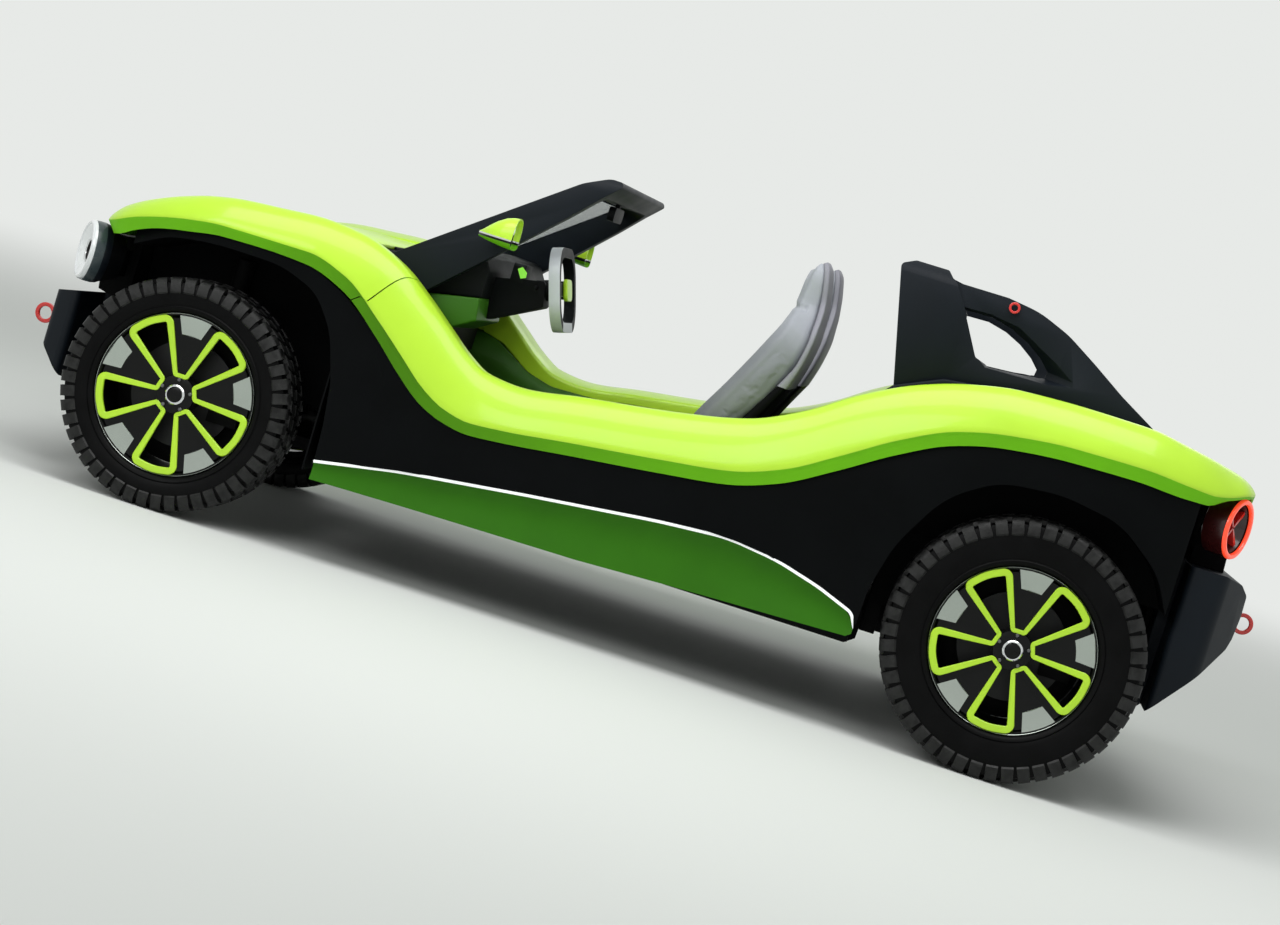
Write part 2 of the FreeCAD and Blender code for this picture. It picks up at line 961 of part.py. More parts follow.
def build_seat_backs():
    front = [
        (118.5, seat_base_z, 0),
        (160, 760, 300),
        (374, 1165, 80),
        (374, 1325, 18),
        (400, 1345, 0),
    ]
    half = seat_width / 2
    pad = side_slab(front + seat_joint_line, seat_centre_x - half, seat_centre_x + half)
    pad = pad.common(seat_front_view(0))
    valley = half - bolster_width
    middle = front_slab(
        [
            (seat_centre_x - valley, 700, 30),
            (seat_centre_x + valley, 700, 30),
            (seat_centre_x + valley, 1000, 100),
            (seat_centre_x + valley - 30, 1130, 40),
            (seat_centre_x - valley + 30, 1130, 40),
            (seat_centre_x - valley, 1000, 100),
        ],
        0,
        600,
    )
    return pair(with_bolsters(pad, middle, Vector(0, bolster_rise, 0)))


def build_seat_shells():
    joint = [(y + seat_clearance, z, r) for y, z, r in seat_joint_line]
    rear = [
        (300, seat_base_z, 0),
        (445, 925, 150),
        (484, 1015, 150),
        (503, 1100, 150),
        (498, 1225, 100),
        (462, 1335, 25),
        (445, 1345, 0),
    ]
    half = seat_width / 2
    shell = side_slab(joint + rear, seat_centre_x - half, seat_centre_x + half)
    return pair(shell.common(seat_front_view(4)))


def build_seat_bases():
    top_z = 479.7
    section = [
        (-300, floor_z + tub_floor, 0),
        (-320, top_z, 0),
        (180, top_z, 0),
        (185, 640, 0),
        (320, 640, 0),
        (260, floor_z + tub_floor, 0),
    ]
    half = seat_width / 2 - 25
    return pair(side_slab(section, seat_centre_x - half, seat_centre_x + half))


lower_dash_top = [(-751.7, 876), (-572, 911)]
knee_panel_inner_x = 180.0
knee_panel_outer_x = tray_half_width - tub_wall - 4


def build_dashboard():
    front, rear = lower_dash_top
    section = [
        (front[0], front[1], 0),
        (front[0], 1030, 0),
        (-700, 1052, 20),
        (-600, 1046, 30),
        (rear[0], 1000, 20),
        (rear[0], rear[1], 0),
    ]
    return side_slab(section, -565, 565)


def build_dash_lower():
    """Knee panel under the driver's half of the dashboard."""
    front, rear = lower_dash_top
    section = [
        (front[0], front[1], 0),
        (rear[0], rear[1], 0),
        (-562, 841, 10),
        (-634, 797, 20),
        (front[0], 790, 0),
    ]
    return side_slab(section, knee_panel_inner_x, knee_panel_outer_x)


wheel_centre = Vector(370, -365, 1005)
wheel_tilt = 17.3
grip_thickness = 35.0
grip_width = 31.0
column_gap = 40.0
column_axis = Vector(
    0,
    math.cos(math.radians(wheel_tilt)),
    math.sin(math.radians(wheel_tilt)),
)


def in_steering_plane(shape):
    """Turns a shape drawn flat (X right, Y up, Z to the driver) into place."""
    placed = shape.copy()
    placed.rotate(Vector(0, 0, 0), Vector(1, 0, 0), 90)
    placed.rotate(Vector(0, 0, 0), Vector(0, 0, 1), 180)
    placed.rotate(Vector(0, 0, 0), Vector(1, 0, 0), wheel_tilt)
    placed.translate(wheel_centre)
    return placed


def flat_outline(width, height, radius, z):
    w = width / 2
    h = height / 2
    corners = [(-w, -h, radius), (w, -h, radius), (w, h, radius), (-w, h, radius)]
    return Part.Face(outline(corners, lambda a, b: Vector(a, b, z)))


def build_steering_wheel():
    low = -grip_thickness / 2
    grip = flat_outline(360, 267, 100, low).extrude(Vector(0, 0, grip_thickness))
    hole = flat_outline(360 - 2 * grip_width, 267 - 2 * grip_width, 100 - grip_width, low - 5)
    grip = grip.cut(hole.extrude(Vector(0, 0, grip_thickness + 10)))
    spokes = Part.makeBox(310, 40, 18, Vector(-155, -20, -9))
    centre = Part.makeBox(120, 56, 18, Vector(-60, -28, -9))
    boss = Part.makeCylinder(30, column_gap - 9, Vector(0, 0, -column_gap))
    return in_steering_plane(fused([grip, spokes, centre, boss]))


def build_steering_hub():
    pad = flat_outline(112, 70, 22, 9.3).extrude(Vector(0, 0, 14))
    return in_steering_plane(pad)


def build_steering_column():
    start = wheel_centre - column_axis * (column_gap + seat_clearance)
    x = wheel_centre.x
    shroud = side_slab(
        [
            (-571.7, 845, 0),
            (-400, 936, 12),
            (-416, 1018, 12),
            (-571.7, 984, 0),
        ],
        x - 62,
        x + 62,
    )
    shroud = shroud.cut(build_dash_lower())
    neck = rod(start, start - column_axis * 40, 34)
    pod = front_slab(
        [(x - 65, 990, 0), (x + 65, 990, 0), (x + 65, 1048, 14), (x - 65, 1048, 14)], -527, -487
    )
    stalks = rod(Vector(x - 90, -440, 990), Vector(x + 90, -440, 990), 7)
    return fused([shroud, neck, pod, stalks])


def build_pedals():
    plates = []
    for x in (300, 400):
        plate = side_slab(
            [(-760, 450, 0), (-690, 560, 0), (-702, 567, 0), (-772, 457, 0)],
            x - 30,
            x + 30,
        )
        lever = side_slab(
            [(-861.5, 690, 0), (-715, 540, 0), (-724, 530, 0), (-861.5, 672, 0)],
            x - 6,
            x + 6,
        )
        plates.append(fused([plate, lever]))
    return Part.makeCompound(plates)


# ---------------------------------------------------------------- running gear
def build_front_subframe():
    rails = block(-300, 300, -1659, -880.3, 262, 300)
    tower = block(-300, 300, -1450, -1240, 300, 419.7)
    rack_y = front_axle_y + 160
    rack = rod(Vector(-430, rack_y, 314), Vector(430, rack_y, 314), 16)
    return fused([rails, tower, rack])


def build_drive_unit():
    section = [
        (850.3, 262, 0),
        (1130, 262, 0),
        (1180, 240, 40),
        (1430, 240, 40),
        (1480, 300, 40),
        (1480, 520, 60),
        (1180, 560, 60),
        (1120, 420, 0),
        (850.3, 350, 0),
    ]
    unit = side_slab(section, -drive_unit_half, drive_unit_half)
    tail = block(-420, 420, 1479, 1699.7, 400, 460)
    return fused([unit, tail])


def build_rear_frame():
    """Members that carry the rear deck and bulkhead above the drive unit."""
    leg = side_slab([(850.3, 270, 0), (900, 270, 0), (900, 1000, 0), (850.3, 1000, 0)], 380, 430)
    top = side_slab([(850.3, 1000, 0), (1720, 1000, 0), (1720, 1060, 0), (850.3, 1060, 0)], 380, 430)
    tail = side_slab([(1680, 460.3, 0), (1699.7, 460.3, 0), (1699.7, 1000, 0), (1680, 1000, 0)], 380, 430)
    return pair(fused([leg, top, tail]))


def arm_outline(inner_x, outer_x, axle_y, spread, eye):
    return [
        (inner_x, axle_y - spread, 0),
        (outer_x - 10, axle_y - eye, 0),
        (outer_x, axle_y, 0),
        (outer_x - 10, axle_y + eye, 0),
        (inner_x, axle_y + spread, 0),
        (inner_x, axle_y + spread - 45, 0),
        (outer_x - 90, axle_y, 0),
        (inner_x, axle_y - spread + 45, 0),
    ]


def build_front_arms():
    arms = []
    post = Vector(kingpin_x, front_axle_y, 0)
    for z_from, z_to, inner_x, spread in ((258, 284, 300.3, 150), (436, 456, 445.3, 110)):
        arm = plan_slab(arm_outline(inner_x, kingpin_x, front_axle_y, spread, 26), z_from, z_to)
        eye = Part.makeCylinder(kingpin_radius + 6, z_to - z_from, post + Vector(0, 0, z_from))
        bore = Part.makeCylinder(
            kingpin_radius + running_clearance, 400, post + Vector(0, 0, 200)
        )
        arms.append(fused([arm, eye]).cut(bore))
    low, high = arms
    return Part.makeCompound([low, mirrored(low), high, mirrored(high)])


def build_rear_arms():
    arms = []
    for z_from, z_to in ((290, 318), (470, 492)):
        arm = arm_outline(drive_unit_half, rear_arm_reach, rear_axle_y, 150, 30)
        arms.append(plan_slab(arm, z_from, z_to))
    low, high = arms
    return Part.makeCompound([low, mirrored(low), high, mirrored(high)])


def build_dampers():
    front = rod(Vector(475, front_axle_y, 470), Vector(475, front_axle_y, 800), 29.7)
    foot_x = rear_liner_wall_x - 38
    head_x = foot_x - 80
    damper_y = rear_axle_y + 60
    rear = rod(Vector(foot_x, damper_y, 496.8), Vector(head_x, damper_y, 990), 28)
    link = block(head_x - 55, head_x + 25, damper_y - 30, damper_y + 30, 985, 1040)
    rear = fused([rear, link]).cut(build_rear_frame())
    return Part.makeCompound([front, mirrored(front), rear, mirrored(rear)])


def upright(track_half, tyre_width, axle_z, axle_y):
    """Hub carrier block with the wheel spindle, drawn for the left side."""
    inner_face = track_half - tyre_width / 2
    carrier = block(inner_face + 26, inner_face + 62, axle_y - 60, axle_y + 60, axle_z - 70, axle_z + 70)
    start = Vector(inner_face + 62, axle_y, axle_z)
    spindle = Part.makeCylinder(spindle_radius, 88, start, Vector(1, 0, 0))
    return fused([carrier, spindle])


def caliper(track_half, tyre_width, axle_z, axle_y):
    inner_face = track_half - tyre_width / 2
    body = block(inner_face + 60, inner_face + 126, axle_y + 95, axle_y + 192, axle_z - 55, axle_z + 55)
    slot = block(inner_face + 75, inner_face + 113, axle_y + 90, axle_y + 176, axle_z - 60, axle_z + 60)
    bracket = block(inner_face + 40, inner_face + 64, axle_y + 50, axle_y + 110, axle_z - 40, axle_z + 40)
    return fused([body.cut(slot), bracket])


def build_knuckle():
    carrier = upright(front_track_half, front_tyre_width, front_tyre_radius, front_axle_y)
    grip = caliper(front_track_half, front_tyre_width, front_tyre_radius, front_axle_y)
    post = Part.makeCylinder(kingpin_radius, 230, Vector(kingpin_x, front_axle_y, 245))
    return fused([carrier, grip, post])


def build_rear_uprights():
    carrier = upright(rear_track_half, rear_tyre_width, rear_tyre_radius, rear_axle_y)
    grip = caliper(rear_track_half, rear_tyre_width, rear_tyre_radius, rear_axle_y)
    outer_face = rear_track_half - rear_tyre_width / 2 + 62
    seat = block(rear_arm_reach + seat_clearance, outer_face, rear_axle_y - 50, rear_axle_y + 50, 280, 500)
    return pair(fused([carrier, grip, seat]))


def build_drive_shafts():
    start = Vector(drive_unit_half + seat_clearance, rear_axle_y, rear_tyre_radius)
    end = Vector(rear_arm_reach - 1.8, rear_axle_y, rear_tyre_radius)
    return pair(rod(start, end, 15))


# ---------------------------------------------------------------- wheels
def round_section(inner_radius, x):
    """Corners of a regular polygon across the wheel axis, its sides on the circle."""
    reach = inner_radius / math.cos(math.pi / wheel_sides)
    turns = [2 * math.pi * i / wheel_sides for i in range(wheel_sides)]
    return [Vector(x, reach * math.cos(a), reach * math.sin(a)) for a in turns]


def flat_face(corners):
    return Part.Face(Part.makePolygon(corners + corners[:1]))


def round_solid(sections):
    """Solid of flat faces through (radius, x) sections along the wheel axis."""
    rings = [round_section(radius, x) for radius, x in sections]
    faces = [flat_face(rings[0]), flat_face(rings[-1])]
    for near, far in zip(rings, rings[1:]):
        for i in range(wheel_sides):
            k = (i + 1) % wheel_sides
            faces.append(flat_face([near[i], near[k], far[k], far[i]]))
    return Part.Solid(Part.Shell(faces))


def build_tyre(radius, width):
    """Carcass with two slopes to a sidewall, under a toothed band that is the tread."""
    half = width / 2
    valley = radius - lug_height
    under_tread = valley - 8
    shoulder = half - 18
    bead = half - bead_inset
    belly = (rim_seat_radius + valley) / 2
    sections = [
        (rim_seat_radius + 3, -bead),
        (belly, -half),
        (under_tread, -shoulder),
        (under_tread, shoulder),
        (belly, half),
        (rim_seat_radius + 3, bead),
    ]
    carcass = round_solid(sections)
    carcass = carcass.cut(round_solid([(rim_seat_radius, -half), (rim_seat_radius, half)]))
    pitch = 2 * math.pi / lug_count
    top_half = pitch * 0.31
    foot_half = pitch * 0.37
    tip = radius / math.cos(top_half)
    corners = []
    for i in range(lug_count):
        centre = -math.pi / 2 + i * pitch
        for turn, reach in (
            (-foot_half, valley),
            (-top_half, tip),
            (top_half, tip),
            (foot_half, valley),
        ):
            angle = centre + turn
            corners.append(Vector(-shoulder, reach * math.cos(angle), reach * math.sin(angle)))
    tread = Part.Face(Part.makePolygon(corners + corners[:1])).extrude(Vector(2 * shoulder, 0, 0))
    bore = Part.makeCylinder(under_tread - 5, 2 * shoulder, Vector(-shoulder, 0, 0), Vector(1, 0, 0))
    return fused([carcass, tread.cut(bore)])


window_root = 60.0
window_tip = 226.0
window_root_half = 13.0
window_tip_half = 66.0
window_corner = 16.0
window_lip = 11.0
lip_height = 6.0
spoke_count = 5
barrel_wall = 9.0
hub_cap_radius = 31.0


def window_face(grow, x):
    """One tapering window of the wheel face, pointing down, grown by grow all round."""
    points = [
        (-window_root_half - grow * 1.2, -window_root + grow, 0),
        (window_root_half + grow * 1.2, -window_root + grow, 0),
        (window_tip_half + grow * 1.3, -window_tip - grow, window_corner),
        (-window_tip_half - grow * 1.3, -window_tip - grow, window_corner),
    ]
    return Part.Face(outline(points, lambda y, z: Vector(x, y, z)))


def build_rim(width):
    half = width / 2
    outer = rim_seat_radius - seat_clearance
    bowl = outer - barrel_wall
    back = -half + 12
    face_back = half - 52
    face_front = half - 30
    axis = Vector(1, 0, 0)
    rim = round_solid([(outer, back), (outer, half - 14)])
    rim = rim.cut(round_solid([(bowl, face_front), (bowl, half)]))
    rim = rim.cut(round_solid([(bowl, back), (bowl, face_back)]))
    lips = []
    windows = []
    for i in range(spoke_count):
        lip = window_face(window_lip, face_front - 1).extrude(Vector(lip_height + 1, 0, 0))
        window = window_face(0, face_back - 1).extrude(Vector(60, 0, 0))
        for shape, kept in ((lip, lips), (window, windows)):
            shape.rotate(Vector(0, 0, 0), axis, i * 360.0 / spoke_count)
            kept.append(shape)
    rim = rim.multiFuse(lips)
    for window in windows:
        rim = rim.cut(window)
    cap = Part.makeCylinder(hub_cap_radius, 10, Vector(face_front, 0, 0), axis)
    return rim.fuse(cap).removeSplitter()


def build_disc(width):
    """Brake disc with its hat and hub; the hub runs on the spindle."""
    half = width / 2
    axis = Vector(1, 0, 0)
    face_back = half - 52
    rotor_from = 80 - half
    rotor = Part.makeCylinder(165, 28, Vector(rotor_from, 0, 0), axis)
    hat = Part.makeCylinder(58, face_back - rotor_from - 0.3, Vector(rotor_from, 0, 0), axis)
    disc = rotor.fuse(hat)
    bore = Part.makeCylinder(spindle_radius + running_clearance, 86, Vector(65 - half, 0, 0), axis)
    return disc.cut(bore).removeSplitter()


def place_wheel_part(shape, track_half, radius, axle_y, side):
    placed = shape.copy()
    placed.translate(Vector(track_half, axle_y, radius))
    return placed if side == "left" else mirrored(placed)


def export_wheels():
    axles = [
        ("front", front_track_half, front_tyre_radius, front_tyre_width, front_axle_y),
        ("rear", rear_track_half, rear_tyre_radius, rear_tyre_width, rear_axle_y),
    ]
    for name, track_half, radius, width, axle_y in axles:
        pieces = [
            ("tyre", build_tyre(radius, width)),
            ("rim", build_rim(width)),
            ("disc", build_disc(width)),
        ]
        for piece, shape in pieces:
            for side in ("left", "right"):
                placed = place_wheel_part(shape, track_half, radius, axle_y, side)
                export("%s_%s_%s" % (piece, name, side), placed)


# ---------------------------------------------------------------- export
def main():
    os.makedirs("parts", exist_ok=True)
    export("front_shell", build_front_shell())
    export("body_sides", build_body_sides())
    export("side_panels", build_side_panels())
    export("arch_liners", build_arch_liners())
    export("rockers", build_rockers())
    export("light_strips", build_light_strips())
    export("battery_tray", build_battery_tray())
    export("cabin_tub", build_cabin_tub())
    export("rear_deck", build_rear_deck())
    export("tail_panel", build_tail_panel())
    export("front_bay", build_front_bay())
    export("cowl", build_cowl())
    export("bonnet", build_bonnet())
    export("front_fascia", build_front_fascia())
    front_bumper = build_front_bumper()
    rear_bumper = build_rear_bumper()
    export("front_bumper", front_bumper)
    export("rear_bumper", rear_bumper)
    export("rear_fascia", build_rear_fascia())
    export("tow_eyes", build_tow_eyes(front_bumper, rear_bumper))
    export("headlamp_bezels", build_headlamp_bezels())
    export("headlamp_lenses", build_headlamp_lenses())
    export("tail_lamp_tubes", build_tail_lamp_tubes())
    export("tail_lamp_rings", build_tail_lamp_rings())
    export("windscreen_frame", build_windscreen_frame())
    export("windscreen_glass", build_windscreen_glass())
    export("mirror_shells", build_mirror_shells())
    export("mirror_glasses", build_mirror_glasses())
    export("inner_mirror", build_inner_mirror())
    export("roll_hoop", build_roll_hoop())
    export("marker_rings", build_marker_rings())
    export("seat_cushions", build_seat_cushions())
    export("seat_backs", build_seat_backs())
    export("seat_shells", build_seat_shells())
    export("seat_bases", build_seat_bases())
    export("dashboard", build_dashboard())
    export("dash_lower", build_dash_lower())
    export("steering_wheel", build_steering_wheel())
    export("steering_hub", build_steering_hub())
    export("steering_column", build_steering_column())
    export("pedals", build_pedals())
    export("front_subframe", build_front_subframe())
    export("drive_unit", build_drive_unit())
    export("rear_frame", build_rear_frame())
    export("suspension_arms", Part.makeCompound([build_front_arms(), build_rear_arms()]))
    export("dampers", build_dampers())
    knuckle = build_knuckle()
    export("knuckle_left", knuckle)
    export("knuckle_right", mirrored(knuckle))
    export("rear_uprights", build_rear_uprights())
    export("drive_shafts", build_drive_shafts())
    export_wheels()


main()
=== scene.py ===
# %% [markdown]
# # An open electric dune buggy
# The solids of the buggy are already built and packed. This lesson loads them as a
# fixed frame and dresses each one: the ribbon of painted bodywork, the wheels, the
# lamps, the seats. Every length is in metres, the nose points along -Y, the left side
# is +X and the ground is Z = 0.
# %% Load the frame
import json
import math

import bmesh
import bpy
import numpy as np
from mathutils import Matrix, Vector

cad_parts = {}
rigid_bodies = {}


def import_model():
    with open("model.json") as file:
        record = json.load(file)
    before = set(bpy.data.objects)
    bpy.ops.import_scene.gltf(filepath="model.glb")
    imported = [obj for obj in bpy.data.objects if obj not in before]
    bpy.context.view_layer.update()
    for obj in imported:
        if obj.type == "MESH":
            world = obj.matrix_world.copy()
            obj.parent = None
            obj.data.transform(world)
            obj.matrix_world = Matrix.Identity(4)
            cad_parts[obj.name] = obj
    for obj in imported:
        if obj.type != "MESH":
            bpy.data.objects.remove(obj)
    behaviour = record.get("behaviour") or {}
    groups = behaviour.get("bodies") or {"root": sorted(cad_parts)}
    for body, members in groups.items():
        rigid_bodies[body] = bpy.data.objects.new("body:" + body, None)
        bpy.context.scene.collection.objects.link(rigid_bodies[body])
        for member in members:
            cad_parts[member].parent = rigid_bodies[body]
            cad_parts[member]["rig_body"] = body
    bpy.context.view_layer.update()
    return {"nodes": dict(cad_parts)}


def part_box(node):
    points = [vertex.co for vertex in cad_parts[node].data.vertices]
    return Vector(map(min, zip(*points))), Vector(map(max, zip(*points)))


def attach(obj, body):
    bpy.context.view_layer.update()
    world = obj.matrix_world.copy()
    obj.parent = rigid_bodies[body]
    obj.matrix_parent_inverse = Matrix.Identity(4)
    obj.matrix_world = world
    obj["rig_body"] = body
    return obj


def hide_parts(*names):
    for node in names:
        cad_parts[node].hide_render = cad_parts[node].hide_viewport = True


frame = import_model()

scene = bpy.context.scene

# %% [markdown]
# ## Finishes
# Paint, rubber and moulded plastic never show one flat colour. A finish here is a
# Principled shader with three small things on top: a slow drift of the colour, a drift
# of the roughness, and a fine bump for grain. Painted images could do the same, but every
# piece would have to be unwrapped first. Noise on Object coordinates needs no unwrapping
# and sits still on the part, so all finishes are made that way.
# %% A node-based finish
finishes = {}


def finish(name, colour, roughness, metallic=0.0, coat=0.0, drift=0.08, drift_scale=5.0,
           grain=0.05, grain_scale=700.0, rough_drift=0.06, cells=False, shine=0.5):
    material = bpy.data.materials.new(name)
    material.use_nodes = True
    tree = material.node_tree
    shader = tree.nodes["Principled BSDF"]
    shader.inputs["Metallic"].default_value = metallic
    shader.inputs["Coat Weight"].default_value = coat
    shader.inputs["Specular IOR Level"].default_value = shine
    shader.inputs["Coat Roughness"].default_value = 0.08
    place = tree.nodes.new("ShaderNodeTexCoord")
    slow = tree.nodes.new("ShaderNodeTexNoise")
    slow.inputs["Scale"].default_value = drift_scale
    slow.inputs["Detail"].default_value = 4.0
    tree.links.new(place.outputs["Object"], slow.inputs["Vector"])
    ramp = tree.nodes.new("ShaderNodeValToRGB")
    ramp.color_ramp.elements[0].position = 0.35
    ramp.color_ramp.elements[1].position = 0.65
    ramp.color_ramp.elements[0].color = (*[c * (1 - drift) for c in colour], 1)
    ramp.color_ramp.elements[1].color = (*[min(1, c * (1 + drift)) for c in colour], 1)
    tree.links.new(slow.outputs["Fac"], ramp.inputs["Fac"])
    tree.links.new(ramp.outputs["Color"], shader.inputs["Base Color"])
    rough = tree.nodes.new("ShaderNodeMapRange")
    rough.inputs["From Min"].default_value = 0.3
    rough.inputs["From Max"].default_value = 0.7
    rough.inputs["To Min"].default_value = max(0.0, roughness - rough_drift)
    rough.inputs["To Max"].default_value = min(1.0, roughness + rough_drift)
    tree.links.new(slow.outputs["Fac"], rough.inputs["Value"])
    tree.links.new(rough.outputs["Result"], shader.inputs["Roughness"])
    if grain > 0:
        kind = "ShaderNodeTexVoronoi" if cells else "ShaderNodeTexNoise"
        fine = tree.nodes.new(kind)
        fine.inputs["Scale"].default_value = grain_scale
        tree.links.new(place.outputs["Object"], fine.inputs["Vector"])
        bump = tree.nodes.new("ShaderNodeBump")
        bump.inputs["Strength"].default_value = grain
        bump.inputs["Distance"].default_value = 0.001
        tree.links.new(fine.outputs[0], bump.inputs["Height"])
        tree.links.new(bump.outputs["Normal"], shader.inputs["Normal"])
    finishes[name] = material
    return material


print("finish builder ready")

# %% Body finishes
body_green = (0.50, 0.82, 0.030)
paint = finish("paint_green", body_green, 0.36, coat=0.30, drift=0.03, grain=0.02,
               grain_scale=1800, shine=0.40)
# A darker, greener copy of the body paint: painted shade, for the band tucked under the fold and the lower
# half of each mirror.
paint_with_painted_shade = finish("paint_with_painted_shade_green", (0.19, 0.62, 0.010), 0.45, drift=0.04, grain=0.02,
                     grain_scale=1800, shine=0.12)
# The rocker takes the body green darkened: painted shade.
rocker_painted_shade_green = finish("rocker_painted_shade_green", (0.030, 0.150, 0.004), 0.42, drift=0.05, grain=0.02,
                      grain_scale=1800, shine=0.12)
# Body green darkened for the inner wall beside the feet and the lower dash: painted shade.
door_painted_shade_green = finish("door_painted_shade_green", (0.035, 0.13, 0.008), 0.45, drift=0.06, grain=0.05, shine=0.2)
dark = finish("matte_dark", (0.0042, 0.0068, 0.0105), 0.55, drift=0.12, grain=0.08,
              grain_scale=1400, shine=0.16)
door_dark = finish("door_dark", (0.0022, 0.0027, 0.0031), 0.46, drift=0.15, grain=0.08,
                   grain_scale=1400, shine=0.05)
dark_trim = finish("dark_trim", (0.0018, 0.0021, 0.0024), 0.60, drift=0.2, grain=0.15,
                   grain_scale=900, shine=0.06)
print("body finishes:", len(finishes))

# %% Wheel and running gear finishes
rubber = finish("tyre_rubber", (0.0018, 0.0018, 0.0020), 0.44, drift=0.3, drift_scale=14,
                grain=0.25, grain_scale=260, rough_drift=0.10, shine=0.08)
lug_rubber = finish("lug_rubber", (0.0085, 0.0086, 0.0085), 0.50, drift=0.8, drift_scale=38,
                    grain=0.9, grain_scale=95, rough_drift=0.16, shine=0.30)
wheel_black = finish("rim_black", (0.0025, 0.0027, 0.0028), 0.32, coat=0.05, drift=0.1,
                     grain=0.03, shine=0.16)
# Polished grey metal with a slight green tint; the tint is a painted reflection of green surroundings.
bright_metal_painted_reflection = finish("rim_bright_painted_reflection", (0.42, 0.46, 0.42), 0.18, metallic=1.0, drift=0.05,
                      grain=0.10, grain_scale=1200)
chrome = finish("chrome", (0.70, 0.71, 0.72), 0.10, metallic=1.0, drift=0.03, grain=0.02)
iron = finish("disc_iron", (0.022, 0.022, 0.023), 0.45, metallic=0.6, drift=0.15, grain=0.25,
              grain_scale=500)
gear = finish("running_gear", (0.0045, 0.0045, 0.005), 0.60, drift=0.3, grain=0.3,
              grain_scale=300, shine=0.1)
steel = finish("steel", (0.16, 0.16, 0.17), 0.40, metallic=1.0, drift=0.1, grain=0.15)
print("with wheels and running gear:", len(finishes))

# %% Cabin and lamp finishes
cabin = finish("cabin_black", (0.0035, 0.0042, 0.0050), 0.55, drift=0.2, grain=0.25,
               grain_scale=420, cells=True, shine=0.12)
mirror = finish("mirror", (0.80, 0.81, 0.82), 0.04, metallic=1.0, drift=0.01, grain=0.0,
                rough_drift=0.01)
lamp_white = finish("lamp_white", (0.80, 0.82, 0.84), 0.22, coat=1.0, drift=0.03, grain=0.02)
lamp_grey = finish("lamp_bezel", (0.045, 0.062, 0.068), 0.30, coat=0.1, drift=0.05, grain=0.05,
                   shine=0.3)
red = finish("signal_red", (0.62, 0.016, 0.012), 0.28, coat=0.6, drift=0.06, grain=0.03)
smoked_red = finish("smoked_red", (0.035, 0.004, 0.004), 0.30, coat=0.3, drift=0.1, grain=0.04)
leather = finish("seat_leather", (0.38, 0.40, 0.44), 0.52, drift=0.06, drift_scale=9,
                 grain=0.25, grain_scale=520, cells=True, shine=0.30)
shell_grey = finish("seat_shell_grey", (0.27, 0.27, 0.31), 0.58, drift=0.04, grain=0.04,
                    shine=0.2)
steering_grey = finish("steering_grey", (0.50, 0.53, 0.56), 0.42, drift=0.04, grain=0.12,
                       grain_scale=900)
print("with cabin and lamps:", len(finishes))

# %% [markdown]
# ## Shade along a piece
# The band under the fold is darkest where it dives beside the door, and the seat back
# darkens towards its foot. More lamps could not draw that softly. A ramp along one object
# axis multiplies the colour instead, so the shade stays with the piece when it is reused.
# %% Fade a colour along an axis
def fade_along(material, axis, places):
    """Scales a finish's colour along one object axis; places are (length, share)."""
    tree = material.node_tree
    shader = tree.nodes["Principled BSDF"]
    colour = shader.inputs["Base Color"].links[0].from_socket
    place, split = tree.nodes.new("ShaderNodeTexCoord"), tree.nodes.new("ShaderNodeSeparateXYZ")
    way, ramp = tree.nodes.new("ShaderNodeMapRange"), tree.nodes.new("ShaderNodeValToRGB")
    mix = tree.nodes.new("ShaderNodeVectorMath")
    first, last = places[0][0], places[-1][0]
    way.inputs["From Min"].default_value, way.inputs["From Max"].default_value = first, last
    for k, (length, share) in enumerate(places):
        step = (length - first) / (last - first)
        element = ramp.color_ramp.elements[k] if k < 2 else ramp.color_ramp.elements.new(step)
        element.position, element.color = step, (share, share, share, 1)
    mix.operation = "MULTIPLY"
    tree.links.new(place.outputs["Object"], split.inputs[0])
    tree.links.new(split.outputs[axis], way.inputs["Value"])
    tree.links.new(way.outputs["Result"], ramp.inputs["Fac"])
    tree.links.new(colour, mix.inputs[0])
    tree.links.new(ramp.outputs["Color"], mix.inputs[1])
    tree.links.new(mix.outputs[0], shader.inputs["Base Color"])


fade_along(paint_with_painted_shade, "Y", [(-1.9, 1.0), (-1.25, 0.85), (-0.75, 0.42), (-0.30, 0.66), (0.5, 1.0)])
fade_along(leather, "Z", [(0.70, 0.42), (0.95, 0.55), (1.12, 0.82), (1.22, 1.0)])
print("faded: band under the fold, seat leather")

# %% [markdown]
# ## Glow and glass
# The lamp rings and the strip along the sill glow faintly, which keeps them readable in
# daylight without lighting the floor. The small green tile in the pod glows as well, though
# it is no lamp: its glow is painted light. A lamp object in each would be slower and would
# not travel with the piece, so a little emission does it. The windscreen is a thin laminated
# pane: a low refraction index keeps the view through it straight.
# %% Lamps that glow a little, and clear glass
def glow(name, colour, strength, roughness):
    material = finish(name, colour, roughness, coat=0.5, drift=0.05, grain=0.02)
    shader = material.node_tree.nodes["Principled BSDF"]
    shader.inputs["Emission Color"].default_value = (*colour, 1)
    shader.inputs["Emission Strength"].default_value = strength
    return material


lamp_glow = glow("lamp_glow", (0.74, 0.76, 0.77), 0.18, 0.25)
tail_glow = glow("tail_glow", (0.85, 0.06, 0.02), 0.8, 0.3)
# The pod tile glows though it is no lamp: painted light.
pod_tile_painted_light = glow("pod_tile_painted_light", (0.25, 0.75, 0.05), 0.5, 0.4)
strip_glow = glow("strip_glow", (0.88, 0.90, 0.90), 0.25, 0.35)

glass = finish("screen_glass", (0.90, 0.94, 0.92), 0.03, drift=0.02, grain=0.0, rough_drift=0.01)
glass_shader = glass.node_tree.nodes["Principled BSDF"]
glass_shader.inputs["Transmission Weight"].default_value = 1.0
glass_shader.inputs["IOR"].default_value = 1.12
print("finishes made:", len(finishes))

